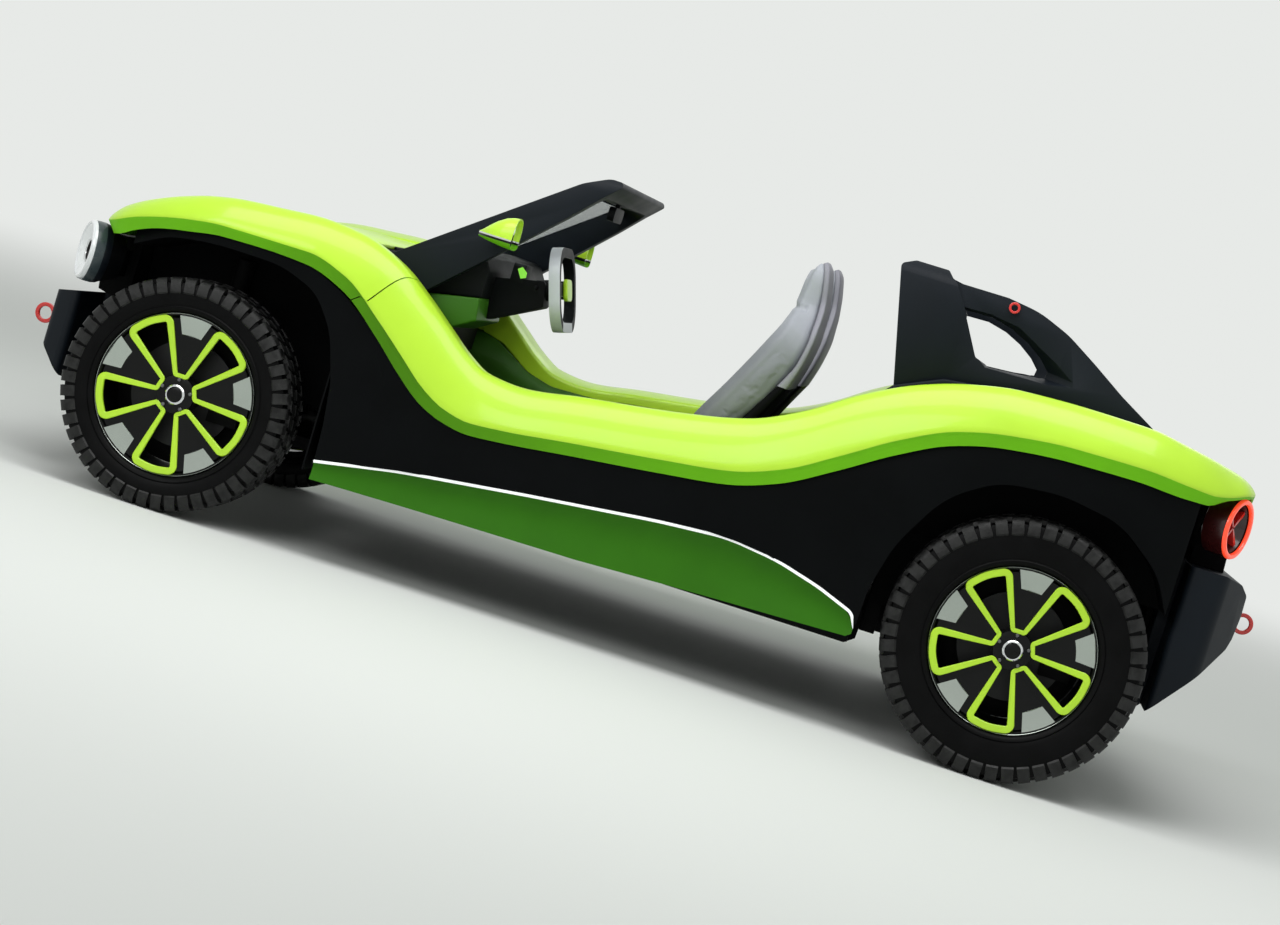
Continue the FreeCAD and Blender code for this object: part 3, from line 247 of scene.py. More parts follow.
# %% [markdown]
# ## Helpers for making meshes
# Most panels are a grid of points: rows of a section, carried along the car. A turned
# piece is the same grid closed round an axis, and a solid bar is one with both ends
# capped. The same shapes could be modelled by hand with loop cuts and extrusions, but
# rows of numbers can be read, checked and changed, so they are used here.
# %% Grids and capped bars
def grid(rows, close_rows=False, close_columns=False):
    """Points (rows x columns x 3) and the quads between them."""
    rows = np.asarray(rows, float)
    count, width = rows.shape[:2]
    faces = []
    for i in range(count if close_rows else count - 1):
        for j in range(width if close_columns else width - 1):
            a, b = i * width, ((i + 1) % count) * width
            k = (j + 1) % width
            faces.append((a + j, a + k, b + k, b + j))
    return rows.reshape(-1, 3), faces


def capped(rows):
    """Closed rows joined into a bar, with a face on each end."""
    points, faces = grid(rows, close_columns=True)
    count, width = len(rows), len(rows[0])
    faces.append(tuple(range(width - 1, -1, -1)))
    faces.append(tuple(range((count - 1) * width, count * width)))
    return points, faces


def slab(outline, depth_start, depth_end, place):
    """A closed outline of (a, b) given a thickness; place(a, b, depth) gives a point."""
    count = len(outline)
    points = [place(a, b, depth_start) for a, b in outline]
    points += [place(a, b, depth_end) for a, b in outline]
    faces = [tuple(range(count)), tuple(range(2 * count - 1, count - 1, -1))]
    faces += [(i, (i + 1) % count, count + (i + 1) % count, count + i) for i in range(count)]
    return np.array(points, float), faces


triangle_bar = slab([(0, 0), (1, 0), (1, 1)], 0, 1, lambda a, b, depth: (a, b, depth))
print("a three-sided slab has", len(triangle_bar[1]), "faces")


# %% Turned pieces and rings
def turned(profile, centre=(0, 0, 0), axis=(1, 0, 0), steps=96, closed=True):
    """A ring of (radius, along) points turned about an axis through centre."""
    axis = Vector(axis).normalized()
    side = axis.orthogonal().normalized()
    up = axis.cross(side)
    rows = []
    for i in range(steps):
        a = 2 * math.pi * i / steps
        out = side * math.cos(a) + up * math.sin(a)
        rows.append([tuple(Vector(centre) + out * r + axis * h) for r, h in profile])
    return grid(rows, close_rows=True, close_columns=closed)


def swept_ring(path, section, up, sizes):
    """A closed path of 3-D points that carries a section of (across, above) points."""
    rows = []
    for i, p in enumerate(path):
        ahead = (path[(i + 1) % len(path)] - path[i - 1]).normalized()
        across = ahead.cross(Vector(up)).normalized()
        above = across.cross(ahead)
        rows.append([tuple(p + across * (a * sizes[i]) + above * (b * sizes[i])) for a, b in section])
    return grid(rows, close_rows=True, close_columns=True)


print("turning and sweeping ready")


# %% Rounded lines
def swell(value, power):
    """A sine or cosine made squarer by a power below 1, with its sign kept."""
    return math.copysign(abs(value) ** power, value)


def rounded(points, closed=True, per_turn=48):
    """Polyline of (a, b, corner radius) with its corners turned into arcs."""
    line = []
    count = len(points)
    for i, (x, y, radius) in enumerate(points):
        here = Vector((x, y))
        if radius == 0 or (not closed and i in (0, count - 1)):
            line.append(tuple(here))
            continue
        back = (Vector(points[i - 1][:2]) - here).normalized()
        ahead = (Vector(points[(i + 1) % count][:2]) - here).normalized()
        half = back.angle(ahead) / 2
        reach = radius / math.tan(half)
        middle = here + (back + ahead).normalized() * (radius / math.sin(half))
        start = here + back * reach - middle
        end = here + ahead * reach - middle
        sweep = math.pi - 2 * half
        steps = max(2, int(per_turn * sweep / (2 * math.pi)) + 1)
        sign = 1 if start.x * end.y - start.y * end.x > 0 else -1
        for s in range(steps + 1):
            a = sign * sweep * s / steps
            c, d = math.cos(a), math.sin(a)
            line.append((middle.x + start.x * c - start.y * d, middle.y + start.x * d + start.y * c))
    return line


print("a square with round corners has", len(rounded([(0, 0, 0.1), (1, 0, 0.1), (1, 1, 0.1), (0, 1, 0.1)])),
      "points")


# %% Moving, turning and mirroring a part
def moved(part, offset):
    return np.asarray(part[0]) + np.asarray(offset), part[1]


def spun(part, angle):
    """A part turned about the X axis, which is every axle's own."""
    turn = np.array(Matrix.Rotation(angle, 3, "X"))
    return part[0] @ turn.T, part[1]


def mirrored(part):
    return np.asarray(part[0]) * (-1, 1, 1), [tuple(reversed(f)) for f in part[1]]


print("moving parts ready")

# %% [markdown]
# ## From numbers to objects
# A mesh made of several parts has doubled points and may have faces turned inwards.
# `weld` mends both. `settle` turns live modifiers into a plain mesh and smooths it, so that
# only real edges stay sharp. `put` joins parts into one object, hides the solid that it
# stands for and lets it ride on its body. Objects stay at the origin, unturned.
# %% Weld, settle and round off
def weld(mesh):
    work = bmesh.new()
    work.from_mesh(mesh)
    bmesh.ops.remove_doubles(work, verts=work.verts, dist=1e-5)
    bmesh.ops.dissolve_degenerate(work, edges=work.edges, dist=1e-6)
    bmesh.ops.recalc_face_normals(work, faces=work.faces)
    work.to_mesh(mesh)
    work.free()


def settle(obj, smooth_angle=35.0):
    """Applies the modifiers of obj and smooths every edge flatter than the angle."""
    graph = bpy.context.evaluated_depsgraph_get()
    mesh = bpy.data.meshes.new_from_object(obj.evaluated_get(graph), depsgraph=graph)
    obj.modifiers.clear()
    obj.data = mesh
    mesh.polygons.foreach_set("use_smooth", [True] * len(mesh.polygons))
    mesh.set_sharp_from_angle(angle=math.radians(smooth_angle))
    mesh.update()
    return obj


def round_off(obj, width, segments, angle):
    """Rounds every edge sharper than the angle."""
    edge = obj.modifiers.new("edge", "BEVEL")
    edge.width = width
    edge.segments = segments
    edge.limit_method = "ANGLE"
    edge.angle_limit = math.radians(angle)


def link_mesh(name, mesh):
    obj = bpy.data.objects.new(name, mesh)
    scene.collection.objects.link(obj)
    return obj


def plain_mesh(name, part):
    """A welded mesh from one (points, faces) part."""
    mesh = bpy.data.meshes.new(name)
    mesh.from_pydata([tuple(p) for p in part[0]], [], part[1])
    weld(mesh)
    return mesh


print("mesh mending ready")


# %% Put a piece together
def put(name, parts, body, nodes=(), slot=None, wall=0.0, smooth_angle=35.0):
    """parts is a list of (points, faces, material). wall gives a sheet its thickness."""
    mesh = bpy.data.meshes.new(name)
    points, faces, slots, materials, start = [], [], [], [], 0
    for part_points, part_faces, material in parts:
        if material not in materials:
            materials.append(material)
        points += [tuple(p) for p in part_points]
        faces += [tuple(start + k for k in f) for f in part_faces]
        slots += [materials.index(material)] * len(part_faces)
        start += len(part_points)
    mesh.from_pydata(points, [], faces)
    for material in materials:
        mesh.materials.append(material)
    mesh.polygons.foreach_set("material_index", slots)
    mesh.update()
    weld(mesh)
    obj = link_mesh(name, mesh)
    if wall:
        thick = obj.modifiers.new("wall", "SOLIDIFY")
        thick.thickness = wall
        thick.offset = -1.0
    settle(obj, smooth_angle)
    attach(obj, body)
    if nodes:
        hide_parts(*nodes)
    return obj


def put_both(name, parts, body, node=None, **look):
    """The left piece and its mirror image; the left one takes the place of the solid."""
    put(name + "_left", parts, body, [node] if node else [], **look)
    put(name + "_right", [(*mirrored((p, f)), m) for p, f, m in parts], body, **look)


print("pieces can be put together")


# %% Dress a solid
dressed_angle, dressed_rounds = 30, 3


def dress(node, material, bevel):
    """A softened copy of a solid: its flats merged, its edges rounded, a finish on it."""
    source = frame["nodes"][node]
    mesh = source.data.copy()
    work = bmesh.new()
    work.from_mesh(mesh)
    bmesh.ops.remove_doubles(work, verts=work.verts, dist=2e-5)
    bmesh.ops.dissolve_limit(work, angle_limit=math.radians(1.5), verts=work.verts,
                             edges=work.edges)
    work.to_mesh(mesh)
    work.free()
    mesh.materials.clear()
    mesh.materials.append(material)
    mesh.polygons.foreach_set("material_index", [0] * len(mesh.polygons))
    obj = link_mesh(node + "_dressed", mesh)
    if bevel:
        round_off(obj, bevel, dressed_rounds, dressed_angle)
    settle(obj, 40)
    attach(obj, source["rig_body"])
    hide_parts(node)
    return obj


print("solids can be dressed")

# %% [markdown]
# ## The painted ribbon
# One folded band of bodywork runs from the nose over both wheels to the tail. Its
# section is the same everywhere: a rolled inner lip, a broad crown, a shoulder that falls
# to a crisp fold, and a narrow band tucked under the fold. A subdivided cage would give
# the swell but blur the fold. So the band is made as sections between an outer and an
# inner plan line, with heights from one table, and smooth slopes between the rows.
# %% Nose rows: outer x, outer y, inner x, inner y, crest, fold, low edge
nose_rows = [
    (0.000, -1.744, 0.000, -1.662, 0.858, 0.801, 0.768),
    (0.300, -1.744, 0.300, -1.662, 0.858, 0.801, 0.768),
    (0.520, -1.744, 0.510, -1.660, 0.859, 0.801, 0.768),
    (0.620, -1.744, 0.565, -1.640, 0.861, 0.801, 0.768),
    (0.700, -1.741, 0.600, -1.600, 0.866, 0.803, 0.768),
    (0.765, -1.725, 0.630, -1.555, 0.878, 0.806, 0.770),
    (0.815, -1.688, 0.655, -1.500, 0.896, 0.816, 0.777),
    (0.852, -1.630, 0.672, -1.440, 0.920, 0.839, 0.805),
    (0.890, -1.540, 0.684, -1.385, 0.950, 0.865, 0.834),
    (0.918, -1.440, 0.690, -1.330, 0.975, 0.886, 0.852),
    (0.930, -1.330, 0.694, -1.285, 0.991, 0.899, 0.867),
    (0.927, -1.200, 0.690, -1.180, 1.001, 0.900, 0.869),
    (0.920, -1.060, 0.684, -1.060, 1.010, 0.900, 0.862),
    (0.904, -0.930, 0.664, -0.930, 0.997, 0.862, 0.817),
]
print("nose rows", len(nose_rows))

# %% Flank rows: station y, half width, crest, fold, low edge
flank_rows = [
    (-0.80, 0.890, 0.949, 0.766, 0.717),
    (-0.70, 0.880, 0.880, 0.682, 0.626),
    (-0.61, 0.876, 0.809, 0.608, 0.558),
    (-0.53, 0.873, 0.747, 0.567, 0.526),
    (-0.45, 0.870, 0.705, 0.551, 0.513),
    (-0.35, 0.868, 0.695, 0.558, 0.520),
    (-0.15, 0.868, 0.724, 0.584, 0.544),
    (0.15, 0.874, 0.769, 0.622, 0.580),
    (0.35, 0.884, 0.814, 0.652, 0.609),
    (0.50, 0.897, 0.884, 0.705, 0.660),
    (0.65, 0.909, 0.983, 0.795, 0.747),
    (0.80, 0.922, 1.060, 0.891, 0.843),
    (0.95, 0.932, 1.109, 0.964, 0.920),
    (1.10, 0.940, 1.136, 1.000, 0.959),
    (1.30, 0.944, 1.144, 1.021, 0.979),
]
print("widest at", max(row[1] for row in flank_rows), "crest up to", max(row[2] for row in flank_rows))

# %% Tail rows, with the columns of the nose
tail_rows = [
    (0.929, 1.500, 0.694, 1.470, 1.142, 1.024, 0.983),
    (0.893, 1.650, 0.672, 1.580, 1.122, 1.013, 0.975),
    (0.863, 1.720, 0.650, 1.640, 1.110, 1.008, 0.975),
    (0.820, 1.780, 0.622, 1.690, 1.098, 1.018, 1.003),
    (0.760, 1.835, 0.600, 1.720, 1.088, 1.036, 1.026),
    (0.690, 1.856, 0.560, 1.736, 1.082, 1.030, 1.020),
    (0.600, 1.861, 0.520, 1.740, 1.078, 1.006, 0.969),
    (0.300, 1.861, 0.300, 1.740, 1.074, 1.006, 0.969),
    (0.000, 1.861, 0.000, 1.740, 1.074, 1.006, 0.969),
]
print("tail rows", len(tail_rows))

# %% Widths, lip and lamp clearances of the ribbon
ribbon_width = 0.235
crown_drop = 0.015
tuck = 0.025
skin = 0.008
# How far the inner lip hangs below the crown, by place along the car: it deepens beside
# the driver's feet.
lip_y = (-0.98, -0.83, -0.73, -0.66, -0.55, -0.45, -0.20, 0.20)
lip_drops = (0.060, 0.200, 0.140, 0.106, 0.086, 0.060, 0.050, 0.060)
# The ribbon is cut back over each lamp, on a circle of this reach round the lamp's middle.
lamp_x, headlamp_z, tail_lamp_z, lamp_reach = 0.700, 0.694, 0.931, 0.100

ribbon_rows = nose_rows + [(x, y, x - ribbon_width, y, crest, fold, low)
                           for y, x, crest, fold, low in flank_rows] + tail_rows
ribbon_rows = np.array(ribbon_rows)
steps_along = np.hypot(*np.diff(ribbon_rows[:, :2], axis=0).T)
ribbon_s = np.concatenate([[0], np.cumsum(steps_along)])
print("ribbon length on one side", round(float(ribbon_s[-1]), 3))


# %% Smooth curves through the rows
def smooth_through(s_known, values, s_wanted):
    """Curve through known values with slopes that never overshoot."""
    out = []
    step = np.diff(s_known)
    for column in values.T:
        rise = np.diff(column) / step
        slope = np.zeros_like(column)
        for i in range(1, len(column) - 1):
            if rise[i - 1] * rise[i] > 0:
                w1, w2 = 2 * step[i] + step[i - 1], step[i] + 2 * step[i - 1]
                slope[i] = (w1 + w2) / (w1 / rise[i - 1] + w2 / rise[i])
        slope[0], slope[-1] = 0, 0
        k = np.clip(np.searchsorted(s_known, s_wanted) - 1, 0, len(step) - 1)
        h = step[k]
        t = (s_wanted - s_known[k]) / h
        out.append((2 * t**3 - 3 * t**2 + 1) * column[k] + (t**3 - 2 * t**2 + t) * h * slope[k]
                   + (3 * t**2 - 2 * t**3) * column[k + 1] + (t**3 - t**2) * h * slope[k + 1])
    return np.array(out).T


def bezier(a, b, c, d, steps):
    t = np.linspace(0, 1, steps)[:, None]
    a, b, c, d = map(np.array, (a, b, c, d))
    return (1 - t)**3 * a + 3 * (1 - t)**2 * t * b + 3 * (1 - t) * t**2 * c + t**3 * d


print("halfway along the ribbon the crest is at",
      round(float(smooth_through(ribbon_s, ribbon_rows, ribbon_s[-1:] / 2)[0, 4]), 3))


# %% One section of the ribbon
def ribbon_section(row):
    """One section as 3-D points, from the inner lip over the crown to the tucked edge."""
    ox, oy, ix, iy, crest, fold, low = row
    width = math.hypot(ox - ix, oy - iy)
    if abs(oy) > 1.7 and abs(ox - lamp_x) < lamp_reach:
        lamp_z = tail_lamp_z if oy > 0 else headlamp_z
        over_lamp = lamp_z + math.sqrt(lamp_reach**2 - (ox - lamp_x)**2)
        low = max(low, over_lamp)
        fold = max(fold, low + 0.010)
    shoulder = min(0.090, 0.50 * width)
    crown = min(0.140, 0.70 * width)
    lip = min(0.018, 0.2 * width)
    rise = crest - fold
    lip_drop = float(np.interp(oy, lip_y, lip_drops))
    section = [(0.0, crest - lip_drop), (0.0, crest - crown_drop - lip)]
    section += list(bezier((0, crest - crown_drop - lip), (0, crest - crown_drop - 0.3 * lip),
                           (0.3 * lip, crest - crown_drop), (lip, crest - crown_drop + 0.001), 6)[1:])
    section += list(bezier((lip, crest - crown_drop + 0.001), (lip + 0.03, crest - 0.006),
                           (width - crown, crest), (width - shoulder, crest), 9)[1:])
    section += list(bezier((width - shoulder, crest), (width - 0.60 * shoulder, crest),
                           (width - 0.012, fold + 0.50 * rise), (width, fold + 0.003), 14)[1:])
    section += [(width - 0.0005, fold), (width - 0.004, fold - 0.004)]
    section += list(zip(np.linspace(width - 0.008, width - tuck, 4),
                        np.linspace(fold - 0.010, low, 4)))
    across = np.array([(ox - ix) / width, (oy - iy) / width])
    return [(ix + across[0] * u, iy + across[1] * u, z) for u, z in section]


section_count = len(ribbon_section(ribbon_rows[5]))
print("ribbon stations", len(ribbon_rows), "points in a section", section_count)


# %% The seam between front shell and body side leans forward towards its foot
seam_y, seam_low_y, seam_top_y = -0.80, -0.90, -0.745
seam_gap = 0.003
on_flank = (ribbon_rows[:, 1] > -1.45) & (ribbon_rows[:, 1] < 1.45)
seam_s = float(np.interp(seam_y, ribbon_rows[on_flank, 1], ribbon_s[on_flank]))
last_s = float(ribbon_s[-1])
tail_s = float(ribbon_s[-3])


def ribbon_band(s_from, s_to, count):
    """Grid of the left band; near the seam its sections lean with the seam."""
    base = np.linspace(s_from, s_to, count)
    lean = np.clip(1 - np.abs(base - seam_s) / 0.35, 0, 1)
    lean = lean * lean * (3 - 2 * lean)
    height = np.linspace(0, 1, section_count)
    top, bottom = seam_top_y - seam_y, seam_low_y - seam_y
    shift = top + (bottom - top) * np.clip((height - 0.45) / 0.55, 0, 1)
    rows = np.zeros((count, section_count, 3))
    for j in range(section_count):
        s = np.clip(base + lean * shift[j], 0, last_s)
        values = smooth_through(ribbon_s, ribbon_rows, s)
        for i in range(count):
            rows[i, j] = ribbon_section(values[i])[j]
    return rows


print("seam at", round(seam_s, 3), "of", round(last_s, 3))

# %% The three painted pieces of the ribbon
tucked_points = 6


def ribbon_piece(name, s_from, s_to, count, node):
    rows = ribbon_band(s_from, s_to, count)
    upper, under = grid(rows[:, :1 - tucked_points]), grid(rows[:, -tucked_points:])
    # The band tucked under the fold takes the darker green of painted shade.
    parts = [(*upper, paint), (*under, paint_with_painted_shade),
             (*mirrored(upper), paint), (*mirrored(under), paint_with_painted_shade)]
    return put(name, parts, "body", [node], slot="paint_green", wall=skin, smooth_angle=50)


for name, s_from, s_to, count, node in (
        ("front_shell_skin", 0.0, seam_s - seam_gap / 2, 72, "front_shell"),
        ("body_sides_skin", seam_s + seam_gap / 2, tail_s, 120, "body_sides"),
        ("tail_panel_skin", tail_s + 0.001, last_s, 14, "tail_panel")):
    print(name, "faces", len(ribbon_piece(name, s_from, s_to, count, node).data.polygons))

# %% [markdown]
# ## Repeats with Geometry Nodes
# Tread lugs, wheel spokes and wheel bolts all stand evenly round an axle. An Array
# modifier could turn them too, but each ring would need a helper object that is turned
# to suit its count. One small tree does them all: a line of points at the axle, one
# turned copy of the source on each, then Realize Instances so that the result is a plain
# mesh.
# %% The tree that repeats a mesh round the X axis
def make_round_tree():
    tree = bpy.data.node_groups.new("round", "GeometryNodeTree")
    tree.interface.new_socket("Source", in_out="INPUT", socket_type="NodeSocketObject")
    tree.interface.new_socket("Count", in_out="INPUT", socket_type="NodeSocketInt")
    tree.interface.new_socket("Finish", in_out="INPUT", socket_type="NodeSocketMaterial")
    tree.interface.new_socket("Mesh", in_out="OUTPUT", socket_type="NodeSocketGeometry")
    node, link = tree.nodes.new, tree.links.new
    given, result = node("NodeGroupInput"), node("NodeGroupOutput")
    info = node("GeometryNodeObjectInfo")
    link(given.outputs["Source"], info.inputs["Object"])
    line = node("GeometryNodeMeshLine")
    line.inputs["Offset"].default_value = (0, 0, 0)
    link(given.outputs["Count"], line.inputs["Count"])
    index, share, turn = node("GeometryNodeInputIndex"), node("ShaderNodeMath"), node("ShaderNodeMath")
    share.operation, turn.operation = "DIVIDE", "MULTIPLY"
    link(index.outputs[0], share.inputs[0])
    link(given.outputs["Count"], share.inputs[1])
    link(share.outputs[0], turn.inputs[0])
    turn.inputs[1].default_value = 2 * math.pi
    spin = node("ShaderNodeCombineXYZ")
    link(turn.outputs[0], spin.inputs["X"])
    copies = node("GeometryNodeInstanceOnPoints")
    link(line.outputs["Mesh"], copies.inputs["Points"])
    link(info.outputs["Geometry"], copies.inputs["Instance"])
    link(spin.outputs["Vector"], copies.inputs["Rotation"])
    real, paint_it = node("GeometryNodeRealizeInstances"), node("GeometryNodeSetMaterial")
    link(copies.outputs["Instances"], real.inputs["Geometry"])
    link(real.outputs["Geometry"], paint_it.inputs["Geometry"])
    link(given.outputs["Finish"], paint_it.inputs["Material"])
    link(paint_it.outputs["Geometry"], result.inputs[0])
    return tree


round_tree = make_round_tree()
print("round tree nodes", len(round_tree.nodes))


# %% Run the tree and keep a plain mesh
def repeat_round(name, part, count, material):
    """Returns (points, faces, material) of part repeated count times round X."""
    source = link_mesh(name + "_one", plain_mesh(name + "_one", part))
    holder = link_mesh(name + "_ring", bpy.data.meshes.new(name + "_ring"))
    modifier = holder.modifiers.new("round", "NODES")
    modifier.node_group = round_tree
    keys = {item.name: item.identifier for item in round_tree.interface.items_tree
            if item.in_out == "INPUT"}
    modifier[keys["Source"]] = source
    modifier[keys["Count"]] = count
    modifier[keys["Finish"]] = material
    graph = bpy.context.evaluated_depsgraph_get()
    result = bpy.data.meshes.new_from_object(holder.evaluated_get(graph), depsgraph=graph)
    points = np.array([v.co for v in result.vertices], float)
    faces = [tuple(p.vertices) for p in result.polygons]
    holder.modifiers.clear()
    for spare in (holder, source):
        bpy.data.objects.remove(spare)
    return points, faces, material


print("repeats ready")

# %% [markdown]
# ## Tyres
# An all-terrain tyre has a turned carcass from bead to bead, with a rim guard ring. The
# tread has two blocks and two shoulder lugs in each pitch, and the lugs of one side stand
# half a pitch behind the other. The pattern could be a bump, but its lugs break the
# outline of the wheel, so they are real blocks, repeated round the axle. The side walls
# carry no lettering.
# %% One lug
lug_pitches = 48
bead_radius, tread_depth = 0.250, 0.013


def lug(section, angle, taper, lean=0.0):
    """Section of (radius, across) points carried through a small angle round X."""
    middle_r = sum(r for r, _ in section) / len(section)
    rows = []
    for side, sunk in ((-1, 0.004), (-1, 0.0), (1, 0.0), (1, 0.004)):
        row = []
        for r, x in section:
            top = 1 if r > middle_r else 0
            a = side * angle * (1 - taper * top) + lean * x
            row.append((x, -(r - sunk) * math.sin(a), (r - sunk) * math.cos(a)))
        rows.append(row)
    return capped(rows)


print("pitch", round(360 / lug_pitches, 2), "degrees")


# %% One tyre
def tyre(node, centre, radius, width, body):
    half = width / 2
    seat, base = bead_radius, radius - tread_depth
    outer = [(seat, half - 0.028), (seat + 0.004, half - 0.016), (seat + 0.012, half - 0.009),
             (seat + 0.018, half - 0.0075), (seat + 0.022, half - 0.011),
             (seat + 0.034, half - 0.006), (0.5 * (seat + radius), half - 0.004),
             (radius - 0.030, half - 0.006), (radius - 0.018, half - 0.013),
             (base - 0.001, half - 0.026), (base, half * 0.55), (base + 0.001, 0.0)]
    inner = [(r, -x) for r, x in reversed(outer[:-1])]
    hollow = [(seat + 0.006, -half + 0.04), (seat + 0.006, half - 0.04)]
    shoulder = [(radius - 0.052, half - 0.0055), (radius - 0.046, half),
                (radius - 0.020, half - 0.0015), (radius - 0.006, half - 0.010),
                (radius - 0.001, half - 0.018), (radius, half - 0.046),
                (base - 0.002, half - 0.048), (base - 0.010, half - 0.020)]
    block_width = half - 0.054
    block = [(base - 0.003, 0.003), (radius - 0.0005, 0.005), (radius - 0.0005, block_width * 0.9),
             (base - 0.003, block_width)]
    pitch = 2 * math.pi / lug_pitches
    right = lug(shoulder, pitch * 0.405, 0.12)
    left = spun(mirrored(right), pitch / 2)
    block_one = lug(block, pitch * 0.38, 0.08, lean=1.3)
    block_two = spun(lug([(r, -x) for r, x in block], pitch * 0.38, 0.08, lean=1.3), pitch * 0.275)
    parts = [(*turned(outer + inner + hollow, steps=128), rubber)]
    for label, one in (("right", right), ("left", left), ("one", block_one), ("two", block_two)):
        parts.append(repeat_round(f"{node}_{label}", one, lug_pitches, lug_rubber))
    parts = [(*moved((p, f), centre), m) for p, f, m in parts]
    return put(node + "_rubber", parts, body, [node], slot="tyre", smooth_angle=38)


print("tyre maker ready")

# %% [markdown]
# ## Wheels
# The cast wheel has five long windows, and a green line runs round every one: out along
# one side, along the rim, back down the other and on to the next, in one closed star.
# Between the windows stand black spokes, each with a polished plate near the rim. The
# star could be a bevelled curve, but its line grows wider towards the rim, so a section
# is swept along it with a size for every point.
# %% Sizes of the wheel face
lobe_root, lobe_tip = 0.062, 0.2360
lobe_root_half, lobe_tip_half = 0.0205, 0.0650
line_tip_half, line_root_half = 0.0108, 0.0066
root_corner, lobe_corner, tip_bow = 0.007, 0.016, 0.16
plate_inset = 0.033
rim_edge = 0.2485
spokes = 5
star_turn = math.pi
face_drop = 0.016


def lobe_half(r):
    return lobe_root_half + (lobe_tip_half - lobe_root_half) * (r - lobe_root) / (lobe_tip - lobe_root)


def clear_angle(r):
    """Half of the angle that is left between two windows at a radius."""
    r = max(r, lobe_root)
    return math.pi / spokes - math.asin(min(1, lobe_half(r) / r))


def face_x(r):
    """Height of the dished wheel face at a radius, measured from its outer edge."""
    return -face_drop * (1 - min(1, r / rim_edge) ** 2) - 0.002


def spin_point(r, angle, x):
    return (x, -r * math.sin(angle), r * math.cos(angle))


print("face at the hub", round(face_x(lobe_root), 4), "at the rim", round(face_x(rim_edge), 4))


# %% The green star
def star_line():
    """Centre line of the star as (radius, angle, width share), one closed round."""
    corners = []
    for k in range(spokes):
        middle = 2 * math.pi * k / spokes
        root, tip = (math.asin(half / r) for r, half in
                     ((lobe_root, lobe_root_half), (lobe_tip, lobe_tip_half)))
        for r, a, corner in ((lobe_root, -root, root_corner), (lobe_tip, -tip, lobe_corner),
                             (lobe_tip * 1.012, 0.0, tip_bow), (lobe_tip, tip, lobe_corner),
                             (lobe_root, root, root_corner)):
            corners.append((r * math.cos(middle + a), r * math.sin(middle + a), corner))
    path = []
    for x, y in rounded(corners, per_turn=64):
        r = math.hypot(x, y)
        share = min(1, max(0, (r - lobe_root) / (lobe_tip - lobe_root)))
        path.append((r, math.atan2(y, x), share ** 0.7))
    return path


def star_band():
    line = star_line()
    path = [Vector(spin_point(r, a + star_turn, face_x(r) + 0.004)) for r, a, _ in line]
    thin = line_root_half / line_tip_half
    sizes = [thin + (1 - thin) * share for _, _, share in line]
    half = line_tip_half
    band = [(-half, -0.008), (-half, 0.001), (-half + 0.002, 0.003), (half - 0.002, 0.003),
            (half, 0.001), (half, -0.008)]
    return swept_ring(path, band, (1, 0, 0), sizes)


print("star points", len(star_line()))


# %% Spokes and plates between the windows
def wedge(radii, reach_at, count, top, under):
    """A fan of the wheel face; reach_at gives its half angle, top and under its heights."""
    middle = math.pi / spokes + star_turn
    rows = []
    for r in radii:
        rows.append([spin_point(r, s * reach_at(r) + middle, top(r, s)) for s in np.linspace(-1, 1, count)]
                    + [spin_point(r, s * reach_at(r) + middle, under(r)) for s in (1, -1)])
    return capped(rows)


spoke = wedge(np.linspace(lobe_root - 0.008, lobe_tip - 0.001, 16),
              lambda r: max(0.02, clear_angle(r)), 9,
              lambda r, s: face_x(r) - 0.002 * (1 - s * s), lambda r: face_x(r) - 0.026)
plate = wedge(np.linspace(0.186, 0.243, 6), lambda r: clear_angle(r) - plate_inset / r, 7,
              lambda r, s: face_x(r) + 0.0025, lambda r: face_x(r) - 0.004)
print("spoke faces", len(spoke[1]), "plate faces", len(plate[1]))

# %% Rim barrel, hub and cap, as (radius, height) profiles
bright_ring = [(0.2500, -0.004), (0.2500, 0.0005), (0.2491, 0.0012), (0.2482, 0.0005), (0.2482, -0.004)]
hub = [(0.0, -0.011), (0.030, -0.0115), (0.044, -0.012), (0.058, -0.016), (0.060, -0.030),
       (0.050, -0.060), (0.0, -0.060)]
cap_dome = [(0.0, -0.0050), (0.012, -0.0055), (0.021, -0.0070), (0.0235, -0.0085)]
cap_ring = [(0.0232, -0.0085), (0.0245, -0.0045), (0.0280, -0.0038), (0.0310, -0.0065), (0.032, -0.014)]
bolt = moved(turned([(0.0, -0.006), (0.0045, -0.006), (0.006, -0.0075), (0.006, -0.018)], steps=6,
                    closed=False), (0, 0, 0.0475))


def barrel(depth):
    """The rim's well and its two edges, for a wheel of this depth."""
    return [(0.2485, 0.0), (0.2440, 0.001), (0.2400, -0.004), (0.2360, -0.016), (0.2300, -0.040),
            (0.2280, -depth + 0.02), (0.2420, -depth + 0.008), (0.2485, -depth + 0.004),
            (0.2495, -depth + 0.010), (0.2380, -depth + 0.022), (0.2340, -0.050), (0.2490, -0.016)]


print("hub radius", max(r for r, _ in hub), "cap radius", max(r for r, _ in cap_ring))


